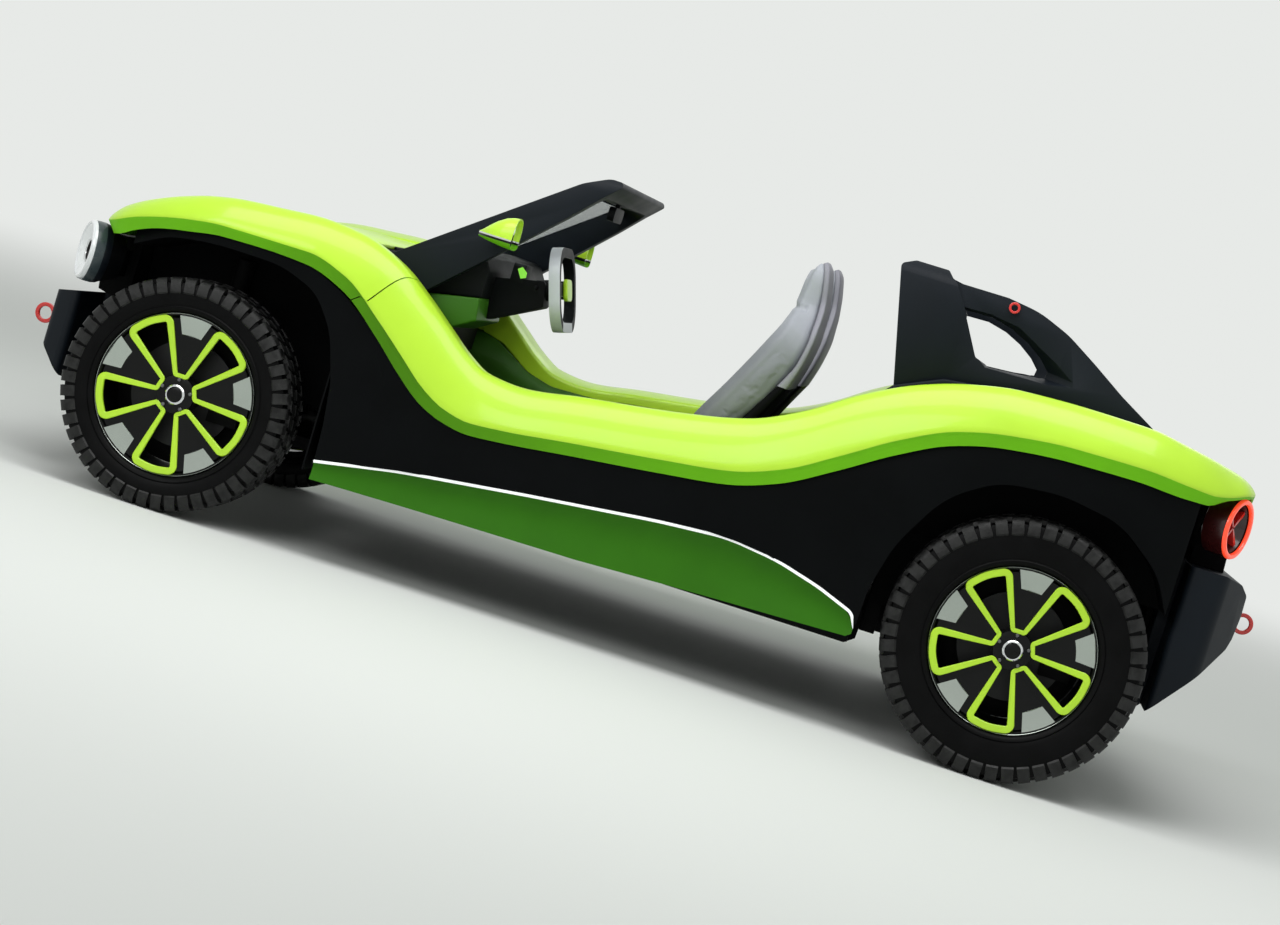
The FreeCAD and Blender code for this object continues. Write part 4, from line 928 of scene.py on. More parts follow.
# %% One wheel
def wheel(node, centre, side, reach, body):
    """side is 1 on the left and -1 on the right; reach is the face's distance from centre."""
    low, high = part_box(node)
    parts = [(*star_band(), paint),
             repeat_round(node + "_spokes", spoke, spokes, wheel_black),
             repeat_round(node + "_plates", plate, spokes, bright_metal_painted_reflection),
             (*turned(barrel(high.x - low.x)), wheel_black),
             (*turned(bright_ring), bright_metal_painted_reflection),
             (*turned(hub, steps=64, closed=False), wheel_black),
             (*turned(cap_dome, steps=48, closed=False), wheel_black),
             (*turned(cap_ring, steps=48, closed=False), chrome),
             repeat_round(node + "_bolts", bolt, spokes, steel)]
    placed = []
    for points, faces, material in parts:
        part = moved((points, faces), (reach, 0, 0))
        placed.append((*moved(part if side > 0 else mirrored(part), centre), material))
    return put(node + "_wheel", placed, body, [node], slot="rim_black", smooth_angle=32)


print("wheel maker ready")

# %% Four corners of the car
wheel_places = ("front_left", "front_right", "rear_left", "rear_right")
for corner in wheel_places:
    low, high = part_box("tyre_" + corner)
    middle, radius = (low + high) / 2, (high.z - low.z) / 2
    side = 1 if middle.x > 0 else -1
    rim_low, rim_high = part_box("rim_" + corner)
    reach = (rim_high.x if side > 0 else -rim_low.x) - side * middle.x - 0.004
    tyre("tyre_" + corner, middle, radius, high.x - low.x, "wheel_" + corner)
    wheel("rim_" + corner, middle, side, reach, "wheel_" + corner)
    print(corner, "radius", round(radius, 3), "face reach", round(reach, 3))

# %% [markdown]
# ## Pieces that keep the shape of their solid
# Frames, bumpers and brackets are right as they are. A copy of the solid gets its
# edges rounded, because a real moulding or casting never ends in a perfect corner, and
# the small highlight along the edge is what the eye reads as solid material.
# A fresh model of each would gain nothing, so the solid itself is the starting point.
# %% Dressed pieces: solid, finish, edge radius
dressed = [
    ("windscreen_frame", dark, 0.012), ("front_bumper", dark, 0.008), ("rear_bumper", dark, 0.008),
    ("front_fascia", dark_trim, 0.004), ("rear_fascia", dark_trim, 0.004),
    ("side_panels", door_dark, 0.003), ("arch_liners", dark_trim, 0.002), ("bonnet", paint, 0.005),
    ("cowl", dark_trim, 0.004), ("cabin_tub", cabin, 0.006), ("battery_tray", dark_trim, 0.004),
    ("rear_deck", dark, 0.006), ("dashboard", cabin, 0.008), ("dash_lower", door_painted_shade_green, 0.006),
    ("steering_column", cabin, 0.008), ("pedals", steel, 0.002), ("front_bay", dark_trim, 0.003),
    ("drive_unit", gear, 0.006), ("rear_frame", gear, 0.003), ("front_subframe", gear, 0.003),
    ("suspension_arms", gear, 0.002), ("dampers", gear, 0.001), ("drive_shafts", steel, 0.001),
    ("knuckle_left", gear, 0.002), ("knuckle_right", gear, 0.002), ("rear_uprights", gear, 0.002),
    ("seat_bases", cabin, 0.006), ("inner_mirror", cabin, 0.003), ("marker_rings", red, 0.002),
    ("tow_eyes", red, 0.004), ("steering_wheel", steering_grey, 0.006), ("steering_hub", paint, 0.004),
]
for node, material, edge in dressed:
    dress(node, material, edge)
print("dressed pieces:", len(dressed))

# %% [markdown]
# ## Solids that only need a finish
# The windscreen is a flat pane and the brake discs are turned iron. Their solids have the
# right shape and edges already, so they stay as they are and only take a material.
# %% Pane and discs
for node, material in (("windscreen_glass", glass),
                       *(("disc_" + corner, iron) for corner in wheel_places)):
    slots = frame["nodes"][node].data.materials
    slots.clear()
    slots.append(material)
    print(node, "is", material.name)

# %% [markdown]
# ## Seats
# A seat pad is foam under leather: it swells between its seams. It could be sculpted, but
# a short cloth simulation with pressure gives the swell for free and the same on every
# pad. Each pad starts as a loft a little smaller than the real one, is remeshed into even
# cells, and is blown up. Seams and channels come after, pressed in along lines.
# %% Lofted pads
def rounded_box_row(front, rear, half, dish, count=48, power=0.36):
    """A closed row of points between a front and a rear point, both (y, z)."""
    front, rear = Vector((0, *front)), Vector((0, *rear))
    middle, reach = (front + rear) / 2, (front - rear) / 2
    row = []
    for i in range(count):
        a = 2 * math.pi * i / count
        across, deep = swell(math.cos(a), power), swell(math.sin(a), power)
        p = middle + reach * deep
        if deep > 0:
            p -= reach.normalized() * dish * max(0.0, 1 - (across / 0.70) ** 2) ** 1.5
        row.append((half * across, p.y, p.z))
    return row


def pad_mesh(rows, extra=14):
    """Rows of (front y, front z, rear y, rear z, half width, dish), made dense."""
    table = np.array(rows, float)
    stations = np.arange(len(table), dtype=float)
    fine = np.linspace(0, stations[-1], (len(table) - 1) * extra + 1)
    return capped([rounded_box_row(r[:2], r[2:4], r[4], r[5])
                   for r in smooth_through(stations, table, fine)])


print("pad lofts ready")

# %% Pad rows from the bottom up: front y, z, rear y, z, half width, dish depth
back_rows = [
    (0.132, 0.662, 0.222, 0.664, 0.205, 0.000),
    (0.143, 0.700, 0.245, 0.690, 0.220, 0.012),
    (0.170, 0.765, 0.290, 0.745, 0.226, 0.024),
    (0.246, 0.905, 0.382, 0.880, 0.230, 0.030),
    (0.316, 1.045, 0.434, 1.010, 0.228, 0.028),
    (0.350, 1.120, 0.445, 1.085, 0.208, 0.018),
    (0.362, 1.165, 0.444, 1.145, 0.160, 0.004),
    (0.368, 1.210, 0.440, 1.203, 0.131, 0.000),
    (0.374, 1.275, 0.431, 1.268, 0.129, 0.000),
    (0.383, 1.316, 0.420, 1.311, 0.118, 0.000),
    (0.394, 1.333, 0.412, 1.330, 0.098, 0.000),
]
cushion_rows = [
    (-0.332, 0.560, -0.318, 0.492, 0.200, 0.000),
    (-0.322, 0.590, -0.300, 0.486, 0.222, 0.004),
    (-0.285, 0.606, -0.270, 0.486, 0.228, 0.014),
    (-0.180, 0.603, -0.180, 0.486, 0.229, 0.026),
    (-0.060, 0.592, -0.060, 0.486, 0.229, 0.030),
    (0.050, 0.583, 0.060, 0.486, 0.228, 0.026),
    (0.105, 0.592, 0.130, 0.490, 0.220, 0.014),
    (0.124, 0.606, 0.150, 0.500, 0.200, 0.000),
]
print("back rows", len(back_rows), "cushion rows", len(cushion_rows))

# %% Blow a pad up
cell_size = 0.006
foam_pressure, foam_frames, foam_cap = 4.0, 20, 0.007


def swollen_points(obj, rest):
    """Points of the pad after a short cloth run; none moves further than foam_cap."""
    cloth = obj.modifiers.new("foam", "CLOTH")
    cloth.settings.use_pressure = True
    cloth.settings.uniform_pressure_force = foam_pressure
    cloth.settings.effector_weights.gravity = 0.0
    cloth.settings.quality = 5
    cloth.point_cache.frame_start, cloth.point_cache.frame_end = 1, foam_frames
    for frame_number in range(1, foam_frames + 1):
        scene.frame_set(frame_number)
    graph = bpy.context.evaluated_depsgraph_get()
    after = np.array([v.co for v in obj.evaluated_get(graph).to_mesh().vertices])
    obj.modifiers.clear()
    scene.frame_set(1)
    move = after - rest
    length = np.linalg.norm(move, axis=1, keepdims=True)
    return rest + move * np.minimum(1, foam_cap / np.maximum(length, 1e-9))


def blown_pad(name, part):
    obj = link_mesh(name, plain_mesh(name, part))
    remesh = obj.modifiers.new("even", "REMESH")
    remesh.mode = "VOXEL"
    remesh.voxel_size = cell_size
    settle(obj, 180)
    rest = np.array([v.co for v in obj.data.vertices])
    obj.data.vertices.foreach_set("co", swollen_points(obj, rest).ravel())
    obj.data.update()
    fine = obj.modifiers.new("fine", "SUBSURF")
    fine.levels = fine.render_levels = 1
    settle(obj, 180)
    return obj


print("foam ready")


# %% Press a seam in
def press_seams(obj, depth_of):
    """Moves each point inwards along its normal by depth_of(point)."""
    mesh = obj.data
    count = len(mesh.vertices)
    points, normals = np.zeros(count * 3), np.zeros(count * 3)
    mesh.vertices.foreach_get("co", points)
    mesh.vertex_normals.foreach_get("vector", normals)
    points, normals = points.reshape(-1, 3), normals.reshape(-1, 3)
    points -= normals * depth_of(points)[:, None]
    mesh.vertices.foreach_set("co", points.ravel())
    mesh.update()


def groove(distance, width=0.005, depth=0.005):
    return depth * np.exp(-(distance / width) ** 2)


print("a seam is", groove(0), "deep")

# %% Where the seams run
channel_width, channel_depth = 0.007, 0.006
back_lean, channel_step, neck_z = 0.42, 0.112, 1.178


def back_seams(p):
    """Two long bolster seams, four channels between them and a crease at the neck."""
    x, y, z = np.abs(p[:, 0]), p[:, 1], p[:, 2]
    along = (z - 0.66) / math.cos(back_lean)
    front_line, rear_line = (np.interp(z, [r[k + 1] for r in back_rows], [r[k] for r in back_rows])
                             for k in (0, 2))
    front = y < 0.5 * (front_line + rear_line)
    seam_x = np.interp(z, [0.66, 0.9, 1.1, 1.17, 1.34], [0.130, 0.150, 0.140, 0.100, 0.085])
    seams = groove(x - seam_x) * (z < 1.16)
    middle = np.clip((seam_x - x) / 0.02, 0, 1)
    for k in range(1, 5):
        channel = groove(along - channel_step * k, channel_width, channel_depth)
        seams = np.maximum(seams, channel * middle)
    return np.maximum(seams, groove(z - neck_z, 0.010, 0.006)) * front


def cushion_seams(p):
    """Two seams along the cushion, four channels across it and one seam round its side."""
    x, y, z = np.abs(p[:, 0]), p[:, 1], p[:, 2]
    top = np.clip((z - 0.535) / 0.02, 0, 1)
    seams = groove(x - 0.150)
    middle = np.clip((0.150 - x) / 0.02, 0, 1)
    for k in range(4):
        seams = np.maximum(seams, groove(y + 0.21 - 0.095 * k, channel_width, channel_depth) * middle)
    return np.maximum(seams * top, groove(z - 0.520, 0.004, 0.003) * (1 - top))


print("seam lines ready")

# %% Two backs and two cushions
seat_half, foam_fill = 0.235, 0.8
seat_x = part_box("seat_backs")[1].x - seat_half
for label, rows, seams, node in (("back", back_rows, back_seams, "seat_backs"),
                                 ("cushion", cushion_rows, cushion_seams, "seat_cushions")):
    first = blown_pad("seat_" + label + "_left", pad_mesh(rows))
    press_seams(first, seams)
    first.data.materials.append(leather)
    second = link_mesh("seat_" + label + "_right", first.data.copy())
    for obj, x in ((first, seat_x), (second, -seat_x)):
        obj.data.transform(Matrix.Translation((x, 0, 0)))
        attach(obj, "body")
    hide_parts(node)
    print("seat", label, "points", len(first.data.vertices))

# %% [markdown]
# ## Seat shells
# Behind the pad a thin moulded shell closes the seat: pale above, black at the foot. It
# is hard, so it needs no simulation, and the same rows and loft as the pads give a shell
# that follows them closely.
# %% Shells, pale above and black at the foot
shell_rows = [
    (0.386, 0.927, 0.426, 0.925, 0.231, 0.0),
    (0.426, 1.010, 0.449, 1.012, 0.230, 0.0),
    (0.438, 1.095, 0.461, 1.100, 0.216, 0.0),
    (0.438, 1.150, 0.461, 1.160, 0.172, 0.0),
    (0.434, 1.210, 0.456, 1.222, 0.134, 0.0),
    (0.425, 1.265, 0.447, 1.272, 0.132, 0.0),
    (0.414, 1.308, 0.434, 1.318, 0.122, 0.0),
    (0.406, 1.328, 0.420, 1.336, 0.104, 0.0),
]
foot_rows = [
    (0.230, 0.642, 0.299, 0.642, 0.222, 0.0),
    (0.292, 0.767, 0.346, 0.765, 0.227, 0.0),
    (0.388, 0.925, 0.424, 0.923, 0.230, 0.0),
]
for side, x in (("left", seat_x), ("right", -seat_x)):
    for label, rows, material in (("shell", shell_rows, shell_grey), ("foot", foot_rows, dark_trim)):
        points, faces = pad_mesh(rows, extra=6)
        points = np.array(points) + (x, 0, 0)
        nodes = ["seat_shells"] if (side, label) == ("left", "shell") else []
        put(f"seat_{label}_{side}", [(points, faces, material)], "body", nodes,
            slot="light_grey" if label == "shell" else "cabin_black", smooth_angle=50)
print("seat shells ready")

# %% [markdown]
# ## Roll hoop
# The hoop is a moulding over steel tube. Its front pillar stands a little proud of the
# arm behind it, and the window in each side is cut with a wide sloping edge. A new loft
# would have to match the solid all round. Cutting a copy of the solid with plain cutters
# keeps the solid's own outline, so the cuts are booleans.
# %% Outlines of the cuts, as (y, z)
arm_outline = [(0.784, 1.450), (0.786, 1.419), (0.823, 1.385), (0.862, 1.327), (0.949, 1.190),
               (0.977, 1.170), (1.250, 1.187), (1.420, 1.200), (1.420, 1.450)]
window_face = [(0.862, 1.327), (0.949, 1.330), (1.041, 1.317), (1.105, 1.283), (1.189, 1.239),
               (1.244, 1.203), (1.240, 1.188), (1.175, 1.174), (0.977, 1.169), (0.949, 1.188)]
window_back = [(0.870, 1.318), (0.954, 1.320), (1.021, 1.304), (1.080, 1.277), (1.130, 1.243),
               (1.161, 1.211), (1.158, 1.189), (1.086, 1.179), (0.985, 1.172), (0.954, 1.192)]
hoop_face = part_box("roll_hoop")[1].x
slope_end, hoop_inside = hoop_face - 0.048, hoop_face - 0.061
arm_step = 0.013


def arm_place(y, z, outside):
    """A point in front of the hoop, or on the recessed arm, which runs out rearwards."""
    rest = min(1, max(0, (1.26 - y) / 0.44))
    return (hoop_face + 0.02 if outside else hoop_face - arm_step * rest + 0.0002, y, z)


print("hoop face at", round(hoop_face, 3))


# %% Cut the hoop
def at_x(x, outline):
    return [(x, y, z) for y, z in outline]


def cut(obj, part):
    tool = link_mesh("cutter", plain_mesh("cutter", part))
    away = obj.modifiers.new("cut", "BOOLEAN")
    away.operation, away.solver, away.object = "DIFFERENCE", "EXACT", tool
    settle(obj)
    bpy.data.objects.remove(tool)


hoop = dress("roll_hoop", dark, 0)
for part in (slab(arm_outline, False, True, arm_place),
             capped([at_x(hoop_face + 0.001, window_face), at_x(slope_end, window_back)]),
             capped([at_x(slope_end + 0.001, window_back), at_x(hoop_inside, window_back)])):
    cut(hoop, part)
    cut(hoop, mirrored(part))
round_off(hoop, 0.005, 2, 22)
settle(hoop, 40)
print("hoop faces", len(hoop.data.polygons))

# %% [markdown]
# ## Door mirrors
# A mirror is two thin domes like the halves of a mussel, held apart by the black arm and
# a bright line. A squashed sphere would be too round at the open end, so the domes are
# lofted from the pointed front to the back, where the glass sits in a shallow well.
# %% Mirror rows: y, middle x, half width, bottom, top
mirror_rows = [
    (-0.597, 0.800, 0.010, 1.098, 1.114), (-0.585, 0.806, 0.030, 1.096, 1.122),
    (-0.566, 0.812, 0.052, 1.093, 1.140), (-0.545, 0.817, 0.066, 1.090, 1.158),
    (-0.520, 0.820, 0.073, 1.087, 1.174), (-0.500, 0.820, 0.0745, 1.085, 1.181),
    (-0.481, 0.820, 0.0745, 1.084, 1.183),
]
split_low, bright_low, split_high = 1.102, 1.1085, 1.113
split_middle = (split_low + split_high) / 2
glass_share, well_depth = 0.93, 0.016
dome_square, dome_swell = 0.75, 0.8


def dome(upper):
    rows = []
    for y, x, half, low, high in mirror_rows:
        edge_z, reach = (split_high, high - split_high) if upper else (split_low, low - split_low)
        rows.append([(x + half * swell(math.cos(a), dome_square), y,
                      edge_z + reach * swell(math.sin(a), dome_swell)) for a in np.linspace(0, math.pi, 17)])
    last = np.array(rows[-1])
    middle = np.array([mirror_rows[-1][1], mirror_rows[-1][0], split_middle])
    lip = middle + (last - middle) * glass_share
    return grid([*rows, lip, lip - (0, well_depth, 0)])


def split_line(sign, top, low, proud):
    """One stripe between the domes, on the outer or the inner side."""
    return grid([[(x + sign * across, y, z) for across, z in
                  ((half - 0.006, top), (half + proud, top), (half + proud, low), (half - 0.006, low))]
                 for y, x, half, _, _ in mirror_rows])


print("mirror", round(mirror_rows[-1][0] - mirror_rows[0][0], 3), "long")

# %% Shell, arm and glass of the mirrors
# The lower dome takes the darker green of painted shade.
mirror_parts = [(*dome(True), paint), (*dome(False), paint_with_painted_shade)]
for sign in (1, -1):
    mirror_parts.append((*split_line(sign, split_high, bright_low, 0.0005), chrome))
    mirror_parts.append((*split_line(sign, bright_low, split_low, -0.002), wheel_black))
arm = [[(x, y0, z0), (x, y1, z0), (x, y1, z1), (x, y0, z1)] for x, y0, y1, z0, z1 in
       ((0.602, -0.585, -0.545, 1.098, 1.112), (0.700, -0.590, -0.548, 1.100, 1.112),
        (0.760, -0.594, -0.550, 1.101, 1.112))]
blade = [(-0.5965, 1.113), (-0.560, 1.113), (-0.560, 1.1175), (-0.5965, 1.1150)]
for stretch in (arm[:2], arm[1:]):
    mirror_parts.append((*capped(stretch), wheel_black))
mirror_parts.append((*capped([at_x(0.640, blade), at_x(0.800, blade)]), chrome))
y, x, half, low, high = mirror_rows[-1]
pane = []
for a in np.linspace(0, 2 * math.pi, 40, endpoint=False) + 0.01:
    above = swell(math.sin(a), dome_swell)
    reach = high - split_middle if above > 0 else split_middle - low
    pane.append((x + half * glass_share * swell(math.cos(a), dome_square), y - 0.014,
                 split_middle + glass_share * reach * above))
put_both("mirror", mirror_parts, "body", "mirror_shells", slot="paint_green", smooth_angle=50)
put_both("mirror_glass", [(*capped([pane, [(x, y + 0.004, z) for x, y, z in pane]]), mirror)], "body",
         "mirror_glasses", slot="mirror", smooth_angle=30)
print("mirrors ready")

# %% [markdown]
# ## Lamps
# The headlamp is a ring of light round a dark eye, in a rounded pale rim that turns dark
# towards the back. The tail lamp is a deep red ring with four red vanes inside a smoked
# tube. Joined cylinders would leave hard steps, so each part is a profile of (radius,
# height) points turned about the lamp's own axis, which points a little outwards.
# %% Where the lamps stand and look
def lamp_axis(degrees, way):
    turn = math.radians(degrees)
    return Vector((math.sin(turn), way * math.cos(turn), 0))


headlamp = (Vector((lamp_x, -1.796, headlamp_z)), lamp_axis(30, -1))
tail_lamp = (Vector((lamp_x, 1.832, tail_lamp_z)), lamp_axis(28, 1))


def lathe(profile, lamp):
    return turned(profile, *lamp, steps=72, closed=False)


print("headlamp looks along", [round(v, 2) for v in headlamp[1]])

# %% Headlamps
lens_parts = [
    (*lathe([(0.0, -0.030), (0.018, -0.028), (0.030, -0.024), (0.032, -0.016)], headlamp), wheel_black),
    (*lathe([(0.032, -0.016), (0.036, -0.012), (0.040, -0.014)], headlamp), chrome),
    (*lathe([(0.040, -0.014), (0.052, -0.010), (0.068, -0.006), (0.082, -0.004)], headlamp), lamp_glow),
]
rim_parts = [
    (*lathe([(0.082, -0.004), (0.0850, 0.0), (0.0895, 0.0), (0.0935, -0.004), (0.0955, -0.014)], headlamp),
     lamp_white),
    (*lathe([(0.0955, -0.014), (0.0965, -0.026), (0.0965, -0.044)], headlamp), lamp_grey),
    (*lathe([(0.0965, -0.044), (0.0935, -0.058), (0.0860, -0.070), (0.070, -0.0715), (0.0, -0.0715)],
            headlamp), dark),
]
put_both("headlamp_lens", lens_parts, "body", "headlamp_lenses", slot="lens_white", smooth_angle=45)
put_both("headlamp_rim", rim_parts, "body", "headlamp_bezels", slot="lamp_bezel", smooth_angle=45)
print("headlamps ready")

# %% Tail lamps
tube_parts = [
    (*lathe([(0.0, -0.0745), (0.080, -0.0745), (0.088, -0.070), (0.0905, -0.050), (0.0905, -0.002)],
            tail_lamp), smoked_red),
    (*lathe([(0.0, -0.044), (0.060, -0.040), (0.076, -0.004)], tail_lamp), smoked_red),
]
ring_parts = [
    (*lathe([(0.0765, 0.001), (0.0765, 0.006), (0.079, 0.0105), (0.0855, 0.0118), (0.0905, 0.0100),
             (0.0930, 0.005), (0.0930, 0.0005)], tail_lamp), tail_glow),
]
face, axis = tail_lamp
level_way, vane_count = axis.cross(Vector((0, 0, 1))).normalized(), 4
vane_outline = ((0.004, -0.003), (0.072, -0.006), (0.072, 0.006), (0.004, 0.003))
for k in range(vane_count):
    a = 2 * math.pi * (k + 0.5) / vane_count
    out = level_way * math.cos(a) + Vector((0, 0, 1)) * math.sin(a)
    across = axis.cross(out)
    vane = slab(vane_outline, -0.034, -0.010, lambda r, w, d: tuple(face + out * r + across * w + axis * d))
    ring_parts.append((*vane, red))
put_both("tail_lamp_tube", tube_parts, "body", "tail_lamp_tubes", slot="matte_dark", smooth_angle=45)
put_both("tail_lamp_ring", ring_parts, "body", "tail_lamp_rings", slot="signal_red", smooth_angle=45)
print("tail lamps ready")

# %% [markdown]
# ## Door cards
# Beside the feet the inner wall of the tub takes the body green, darkened as painted shade,
# and its top follows the lip of the ribbon down into the cabin. A separate card would lie on
# the wall with nothing to hold it, so the wall's own faces take the paint and its top points
# are let down.
# %% Paint and lower the cards
card_x, card_foot_z, card_end_y = 0.60, 0.56, 0.20
card_y = (-0.88, -0.833, -0.731, -0.664, -0.547, -0.455, -0.347, -0.188, 0.037, 0.200)
card_z = (0.750, 0.747, 0.762, 0.742, 0.672, 0.648, 0.646, 0.668, 0.700, 0.760)
tub = bpy.data.objects["cabin_tub_dressed"].data
tub.materials.append(door_painted_shade_green)
for face in tub.polygons:
    if abs(face.center.x) > card_x and face.center.z > card_foot_z and abs(face.normal.x) > 0.5:
        face.material_index = 1
for vertex in tub.vertices:
    if abs(vertex.co.x) > card_x and vertex.co.y < card_end_y:
        vertex.co.z = min(vertex.co.z, float(np.interp(vertex.co.y, card_y, card_z)))
print("card faces", sum(face.material_index for face in tub.polygons))

# %% [markdown]
# ## Steering rim and lit tile
# The steering rim is pale outside and black where the hands and the spokes are. It is one
# moulding, so its faces are told apart by the way they look instead of being cut apart.
# The small green tile of the pod is a piece of its own; it glows though no lamp sits there, so its glow is
# painted light.
# %% Two-coloured rim, lit tile
rim = bpy.data.objects["steering_wheel_dressed"].data
rim.materials.append(cabin)
rim_low, rim_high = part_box("steering_wheel")
for face in rim.polygons:
    to_middle = (rim_low + rim_high) / 2 - face.center
    if face.normal.dot(to_middle.normalized()) > 0.45 or to_middle.length < 0.085:
        face.material_index = 1
tile = [(-0.5115, 1.030), (-0.4985, 1.040), (-0.4800, 1.026), (-0.4790, 1.010), (-0.4950, 1.003)]
put("pod_screen", [(*slab(tile, 0.4352, 0.4372, lambda y, z, x: (x, y, z)), pod_tile_painted_light)], "body",
    slot="cabin_black", smooth_angle=30)
print("black rim faces", sum(face.material_index for face in rim.polygons))

# %% [markdown]
# ## Closing walls and dust shields
# Thin walls close the wheel arches towards the cabin and the sill, and a pressed ring
# stands behind every brake disc, so that nobody looks through the car at the wheels. They
# are flat or turned sheet, made straight from their outlines.
# %% Walls in front of the door and behind it
front_wall = [(0.450, 0.262), (0.855, 0.262), (0.862, 0.700), (0.450, 0.700)]
rear_wall = [(0.858, 0.380), (1.010, 0.380), (1.010, 0.640), (0.930, 0.720), (0.858, 0.720)]
walls = [(*slab(front_wall, -0.902, -0.897, lambda x, z, y: (x, y, z)), dark_trim),
         (*slab(rear_wall, 0.592, 0.597, lambda y, z, x: (x, y, z)), dark_trim)]
put_both("closing_walls", walls, "body", slot="cabin_black", smooth_angle=30)
print("closing walls ready")

# %% Dust shields
shield = [(0.155, 0.0), (0.160, 0.0015), (0.216, 0.004), (0.220, 0.001), (0.218, -0.002), (0.158, -0.003)]
for corner in wheel_places:
    body = {"front_left": "steer_left", "front_right": "steer_right"}.get(corner, "body")
    low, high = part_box("disc_" + corner)
    middle = (low + high) / 2
    side = 1 if middle.x > 0 else -1
    inboard = min(abs(low.x), abs(high.x)) - 0.010
    points, faces = turned(shield, steps=64)
    points = points * (side, 1, 1) + (side * inboard, middle.y, middle.z)
    put("dust_shield_" + corner, [(points, faces, gear)], body, slot="running_gear", smooth_angle=40)
    print("dust shield", corner, "rides on", body)

# %% [markdown]
# ## Rockers and light strips
# The rocker is scooped: it falls inwards under the light strip and comes out again
# at its lower edge, so its top is in shade and its foot catches light. A bent flat panel
# would miss that, so the rocker is lofted from sections. Strip and rocker share one
# smooth line along the door.
# %% The shared line
side_plan = np.array([(-1.030, 0.881), (-0.850, 0.858), (-0.450, 0.833), (0.250, 0.838),
                      (0.760, 0.882), (1.100, 0.904)])
strip_line = rounded([(-0.870, 0.2925, 0), (-0.620, 0.3375, 1.6), (-0.220, 0.3880, 3.0),
                      (0.180, 0.4345, 2.5), (0.400, 0.4520, 0.55), (0.560, 0.4340, 0.6),
                      (0.700, 0.3980, 0.6), (0.815, 0.3560, 0.03), (0.8365, 0.3150, 0)],
                     closed=False, per_turn=500)


def side_x(y):
    """Half width of the sill at a place along the car."""
    return float(smooth_through(side_plan[:, 0], side_plan[:, 1:], np.array([y]))[0, 0])


print("points along the strip", len(strip_line))

# %% Light strip
strip_height, strip_proud, strip_deep, strip_end = 0.009, 0.0028, 0.008, 0.8368
strip_section = ((-strip_deep, 0.0), (strip_proud - 0.001, 0.0), (strip_proud, 0.001),
                 (strip_proud, strip_height - 0.001), (strip_proud - 0.001, strip_height),
                 (-strip_deep, strip_height))
strip_rows = []
for k, (y, z) in enumerate(strip_line):
    before, after = strip_line[max(0, k - 1)], strip_line[min(len(strip_line) - 1, k + 1)]
    along = Vector((after[0] - before[0], after[1] - before[1])).normalized()
    strip_rows.append([(side_x(y) + out, min(strip_end, y - along.y * h), z + along.x * h)
                       for out, h in strip_section])
print("strip sections", len(strip_rows))

# %% Rockers, and both placed on each side
scoop, full_scoop_height, rocker_wall = 0.017, 0.15, 0.028
strip_y, strip_z = zip(*strip_line)
rocker_rows = []
for y in np.linspace(-0.8695, 0.8365, 110):
    top_z = float(np.interp(y, strip_y, strip_z))
    low_z = float(np.interp(y, (-0.870, -0.020, 0.828, 0.837), (0.2405, 0.2515, 0.2885, 0.300)))
    depth = scoop * min(1, (top_z - low_z) / full_scoop_height)
    x = side_x(y) - 0.0005
    row = [(x - depth * math.sin(math.pi * t ** 0.6), y, top_z + (low_z - top_z) * t)
           for t in np.linspace(0, 1, 14)]
    rocker_rows.append(row + [(x - rocker_wall, y, low_z + 0.002), (x - rocker_wall, y, top_z)])
# The rocker's darker green is painted shade; its scoop adds real shade on top.
put_both("rocker", [(*capped(rocker_rows), rocker_painted_shade_green)], "body", "rockers", slot="paint_green",
         smooth_angle=40)
put_both("light_strip", [(*capped(strip_rows), strip_glow)], "body", "light_strips",
         slot="strip_white", smooth_angle=40)
print("rocker points", len(rocker_rows) * len(rocker_rows[0]))

# %% [markdown]
# ## Floor and world
# A pale floor that fades into a pale world shows the whole outline. A curved backdrop
# would do, but it shows its bend from other sides. Here the floor's own colour turns into
# plain light far out, and the world shows that pale colour only to the eye, to shine and
# to glass, so that it never lights the car more than the lamps do.
# %% Floor
pale = (0.80, 0.82, 0.80)
floor_radius, fade_start, fade_end = 40, 3.0, 14.0
floor_mesh = bpy.data.meshes.new("floor")
around = [2 * math.pi * i / 64 for i in range(64)]
floor_mesh.from_pydata([(floor_radius * math.cos(a), floor_radius * math.sin(a), 0.0) for a in around],
                       [], [tuple(range(64))])
floor = link_mesh("floor", floor_mesh)
floor_finish = bpy.data.materials.new("pale_floor")
floor_finish.use_nodes = True
tree = floor_finish.node_tree
matt = tree.nodes["Principled BSDF"]
matt.inputs["Base Color"].default_value = (*pale, 1)
matt.inputs["Roughness"].default_value = 0.75
far = tree.nodes.new("ShaderNodeEmission")
far.inputs["Color"].default_value = (*pale, 1)
place = tree.nodes.new("ShaderNodeTexCoord")
distance = tree.nodes.new("ShaderNodeVectorMath")
distance.operation = "LENGTH"
fade = tree.nodes.new("ShaderNodeMapRange")
fade.interpolation_type = "SMOOTHSTEP"
fade.inputs["From Min"].default_value = fade_start
fade.inputs["From Max"].default_value = fade_end
mix = tree.nodes.new("ShaderNodeMixShader")
tree.links.new(place.outputs["Object"], distance.inputs[0])
tree.links.new(distance.outputs["Value"], fade.inputs["Value"])
tree.links.new(fade.outputs["Result"], mix.inputs["Fac"])
tree.links.new(matt.outputs["BSDF"], mix.inputs[1])
tree.links.new(far.outputs["Emission"], mix.inputs[2])
tree.links.new(mix.outputs["Shader"], tree.nodes["Material Output"].inputs["Surface"])
floor_mesh.materials.append(floor_finish)
print("floor radius", floor_radius)

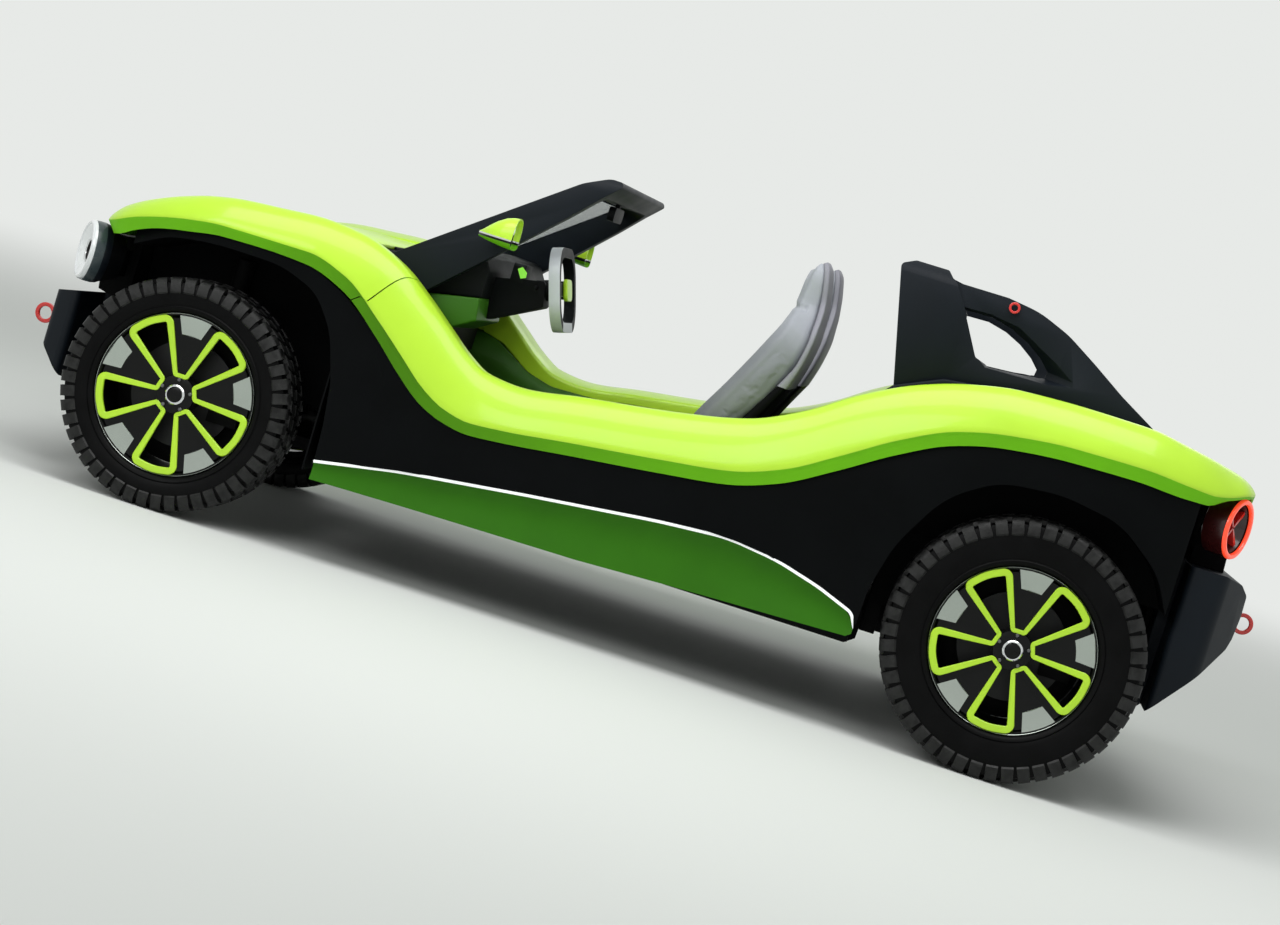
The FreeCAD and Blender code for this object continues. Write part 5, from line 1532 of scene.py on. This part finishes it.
# %% World
world = bpy.data.worlds.new("studio")
scene.world = world
world.use_nodes = True
tree = world.node_tree
room = tree.nodes["Background"]
room.inputs["Color"].default_value = (0.95, 1.0, 0.95, 1)
room.inputs["Strength"].default_value = 0.34
seen = tree.nodes.new("ShaderNodeBackground")
seen.inputs["Color"].default_value = (*pale, 1)
ray = tree.nodes.new("ShaderNodeLightPath")
seen_or_glossy, seen_through = tree.nodes.new("ShaderNodeMath"), tree.nodes.new("ShaderNodeMath")
for gate, first, second in (
        (seen_or_glossy, ray.outputs["Is Camera Ray"], ray.outputs["Is Glossy Ray"]),
        (seen_through, seen_or_glossy.outputs[0], ray.outputs["Is Transmission Ray"])):
    gate.operation = "MAXIMUM"
    tree.links.new(first, gate.inputs[0])
    tree.links.new(second, gate.inputs[1])
mix = tree.nodes.new("ShaderNodeMixShader")
tree.links.new(seen_through.outputs[0], mix.inputs["Fac"])
tree.links.new(room.outputs["Background"], mix.inputs[1])
tree.links.new(seen.outputs["Background"], mix.inputs[2])
tree.links.new(mix.outputs["Shader"], tree.nodes["World Output"].inputs["Surface"])
print("world strength", room.inputs["Strength"].default_value)

# %% [markdown]
# ## Lamps and camera
# One wide soft lamp overhead draws the long highlight on the crown of the ribbon, and two
# weaker ones fill the sides. Small lamps would leave hard spots on the paint. The camera
# stands low beside the car and is rolled, so the car seems to climb.
# %% Soft lamps
def soft_lamp(name, place, aim, width, depth, power):
    lamp = bpy.data.lights.new(name, "AREA")
    lamp.shape = "RECTANGLE"
    lamp.size, lamp.size_y, lamp.energy = width, depth, power
    obj = bpy.data.objects.new(name, lamp)
    obj.location = place
    obj.rotation_euler = (Vector(aim) - Vector(place)).to_track_quat("-Z", "Y").to_euler()
    scene.collection.objects.link(obj)


soft_lamp("over", (2.0, 0.0, 4.2), (0.2, 0.0, 0.6), 5.5, 2.2, 148)
soft_lamp("side", (6.5, -3.0, 4.4), (0, 0, 0.7), 4.0, 2.5, 118)
soft_lamp("far_side", (-6.0, 2.0, 4.5), (0, 0, 0.7), 4.0, 2.5, 42)
print("lamps:", len(bpy.data.lights))

# %% Camera
camera_place = Vector((9.055, 0.900, 1.189))
camera_heading, camera_pitch, camera_roll = (math.radians(a) for a in (5.6988, -4.1361, 17.1905))
forward = Vector((-math.cos(camera_heading) * math.cos(camera_pitch),
                  -math.sin(camera_heading) * math.cos(camera_pitch), math.sin(camera_pitch)))
level = forward.cross(Vector((0, 0, 1))).normalized()
upright = level.cross(forward)
right = level * math.cos(camera_roll) + upright * math.sin(camera_roll)
top = upright * math.cos(camera_roll) - level * math.sin(camera_roll)
lens = bpy.data.cameras.new("camera")
lens.lens = 77.55
lens.sensor_width = 36.0
camera = bpy.data.objects.new("camera", lens)
camera.matrix_world = Matrix((
    (right.x, top.x, -forward.x, camera_place.x),
    (right.y, top.y, -forward.y, camera_place.y),
    (right.z, top.z, -forward.z, camera_place.z),
    (0, 0, 0, 1)))
scene.collection.objects.link(camera)
scene.camera = camera
scene.view_settings.view_transform = "Standard"
print("camera looks along", [round(v, 3) for v in forward])
